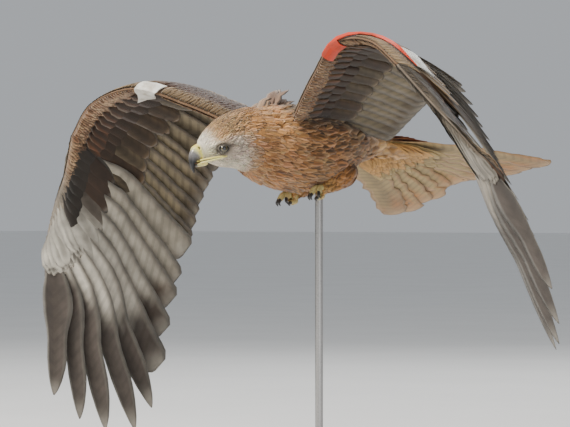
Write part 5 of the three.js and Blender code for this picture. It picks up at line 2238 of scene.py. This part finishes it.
@dataclass
class Studio:
    """The floor, the soft lights and the camera.

    Attributes:
        azimuth: Which way the camera looks, 0 along +Y.
        elevation: How far above the horizon it is.
        distance: How far from its target.
        target: What it looks at, in metres.
        lens: Its focal length, in millimetres.
        floor_reach: How far the floor goes each way, in metres.
    """

    azimuth: float = 41.0
    elevation: float = 0.0
    distance: float = 4.0
    target: Triple = (-0.032, -0.028, 0.325)
    lens: float = 202.5
    floor_reach: float = 40.0

    def floor(self) -> None:
        """Lay the plain pale floor."""
        corners = np.array([[-1, -1, 0], [1, -1, 0], [1, 1, 0], [-1, 1, 0]])
        mesh = mesh_from_arrays("floor", corners * self.floor_reach, np.array([[0, 1, 2, 3]]))
        plane = linked("floor", mesh)
        mesh.materials.append(floor_paint())

    @staticmethod
    def lamp(name: str, where: Triple, size: float, power: float, tint: Triple) -> None:
        """Hang one soft square light.

        Args:
            name: Its name.
            where: Where it hangs; it points at the bird.
            size: Its side, in metres.
            power: Its power, in watts.
            tint: Its colour.
        """
        data = bpy.data.lights.new(name, "AREA")
        data.size = size
        data.energy = power
        data.color = tint
        lamp = bpy.data.objects.new(name, data)
        lamp.location = where
        aim = Vector((0.0, 0.0, LIT_HEIGHT)) - Vector(where)
        lamp.rotation_euler = aim.to_track_quat("-Z", "Y").to_euler()
        bpy.context.scene.collection.objects.link(lamp)

    def lights(self) -> None:
        """Light the bird from above and the picture's left, with a soft fill and a pale sky."""
        self.lamp("key", (-0.6, -2.0, 2.6), 1.0, 165.0, (1.0, 0.95, 0.87))
        self.lamp("fill", (2.8, -1.4, 0.9), 2.4, 20.0, (0.93, 0.97, 1.0))
        self.lamp("rim", (-1.2, 2.4, 2.2), 1.6, 34.0, (1.0, 1.0, 1.0))
        world = bpy.data.worlds.new("sky")
        world.use_nodes = True
        back = world.node_tree.nodes["Background"]
        back.inputs[0].default_value = (0.86, 0.90, 0.95, 1.0)
        back.inputs[1].default_value = 0.5
        bpy.context.scene.world = world

    def camera(self) -> None:
        """Place the camera and make it the scene's."""
        a, e = math.radians(self.azimuth), math.radians(self.elevation)
        back = Vector((math.sin(a) * math.cos(e), -math.cos(a) * math.cos(e), math.sin(e)))
        data = bpy.data.cameras.new("camera")
        data.lens = self.lens
        data.clip_end = 200.0
        camera = bpy.data.objects.new("camera", data)
        camera.location = Vector(self.target) + back * self.distance
        camera.rotation_euler = (-back).to_track_quat("-Z", "Y").to_euler()
        bpy.context.scene.collection.objects.link(camera)
        bpy.context.scene.camera = camera


def finish_piece(piece: Piece, material: Material, slot: str) -> None:
    """Give a piece its material and its place on the body, and log its faces and slot."""
    piece.data.materials.append(material)
    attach(piece, "root")
    log.info("%s: %d faces, slot %s", piece.name, len(piece.data.polygons), slot)


def repaint(node: str, material: Material) -> None:
    """Put a finer material into the slots of a node that stays as it is."""
    for place in bpy.data.objects[node].material_slots:
        place.material = material


def build_body(plumage: Material, head: Material) -> None:
    """Build the skin and its coat over head, neck, torso and rump."""
    skin = BodySkin()
    finish_piece(skin.build(), plumage, "plumage")
    coat = BodyCoat(skin)
    spans = (
        ("coat_head", 0.25, 3.7, head, "head_plumage"),
        ("coat_neck", 3.7, 5.4, plumage, "plumage"),
        ("coat_torso", 5.4, 9.4, plumage, "plumage"),
        ("coat_rump", 9.4, 11.6, plumage, "plumage"),
    )
    for name, low, high, material, slot in spans:
        finish_piece(coat.build(name, low, high), material, slot)
    finish_piece(coat.shoulder_tuft(), plumage, "plumage")


def build_head(cere: Material, horn: Material, eye: Material, lids: Material) -> None:
    """Build the bare parts of the head."""
    parts = HeadParts()
    for build in (parts.cere, parts.lower_bill, parts.gape):
        finish_piece(build(), cere, "cere")
    finish_piece(parts.upper_bill(), horn, "horn")
    for side in Side:
        finish_piece(parts.eyeball(side), eye, "eye")
        finish_piece(parts.lid_ring(side), lids, "eye")


def build_wings(flight: Material, plumage: Material) -> None:
    """Build both wings."""
    for side, seed in ((Side.LEFT, 101), (Side.RIGHT, 202)):
        secondaries, primaries, arm, hand = WingPlumage(side, seed).build()
        for piece in (secondaries, primaries, hand):
            finish_piece(piece, flight, "flight_feathers")
        finish_piece(arm, plumage, "plumage")


def build_legs(plumage: Material, foot: Material, horn: Material) -> None:
    """Build both legs."""
    for side in Side:
        leg = Leg(side)
        finish_piece(leg.thigh_coat(), plumage, "plumage")
        finish_piece(leg.foot_skin(), foot, "foot_skin")
        for claw in leg.claws():
            finish_piece(claw, horn, "horn")


def main() -> None:
    """Build the bird, repaint its tags and stand, and set up the studio."""
    logging.basicConfig(level=logging.INFO, format="%(name)s %(message)s")
    kit = Finishes()
    plumage = kit.plumage.build()
    horn = kit.horn.build()
    build_body(plumage, kit.head.build())
    build_head(kit.cere.build(), horn, kit.eye.build(), kit.lids.build())
    build_wings(kit.flight.build(), plumage)
    finish_piece(TailPlumage().build(), kit.tail.build(), "tail_feathers")
    build_legs(plumage, kit.foot.build(), horn)
    repaint("tag_left", vinyl("tag_red", srgb(206, 62, 34), srgb(150, 70, 50)))
    white = vinyl("tag_white", srgb(226, 224, 216), srgb(168, 156, 138))
    repaint("tag_left_panel", white)
    repaint("tag_right", white)
    repaint("stand_base", turned_wood())
    repaint("stand_rod", brushed_steel())
    studio = Studio()
    studio.floor()
    studio.lights()
    studio.camera()


if __name__ == "__main__":
    main()
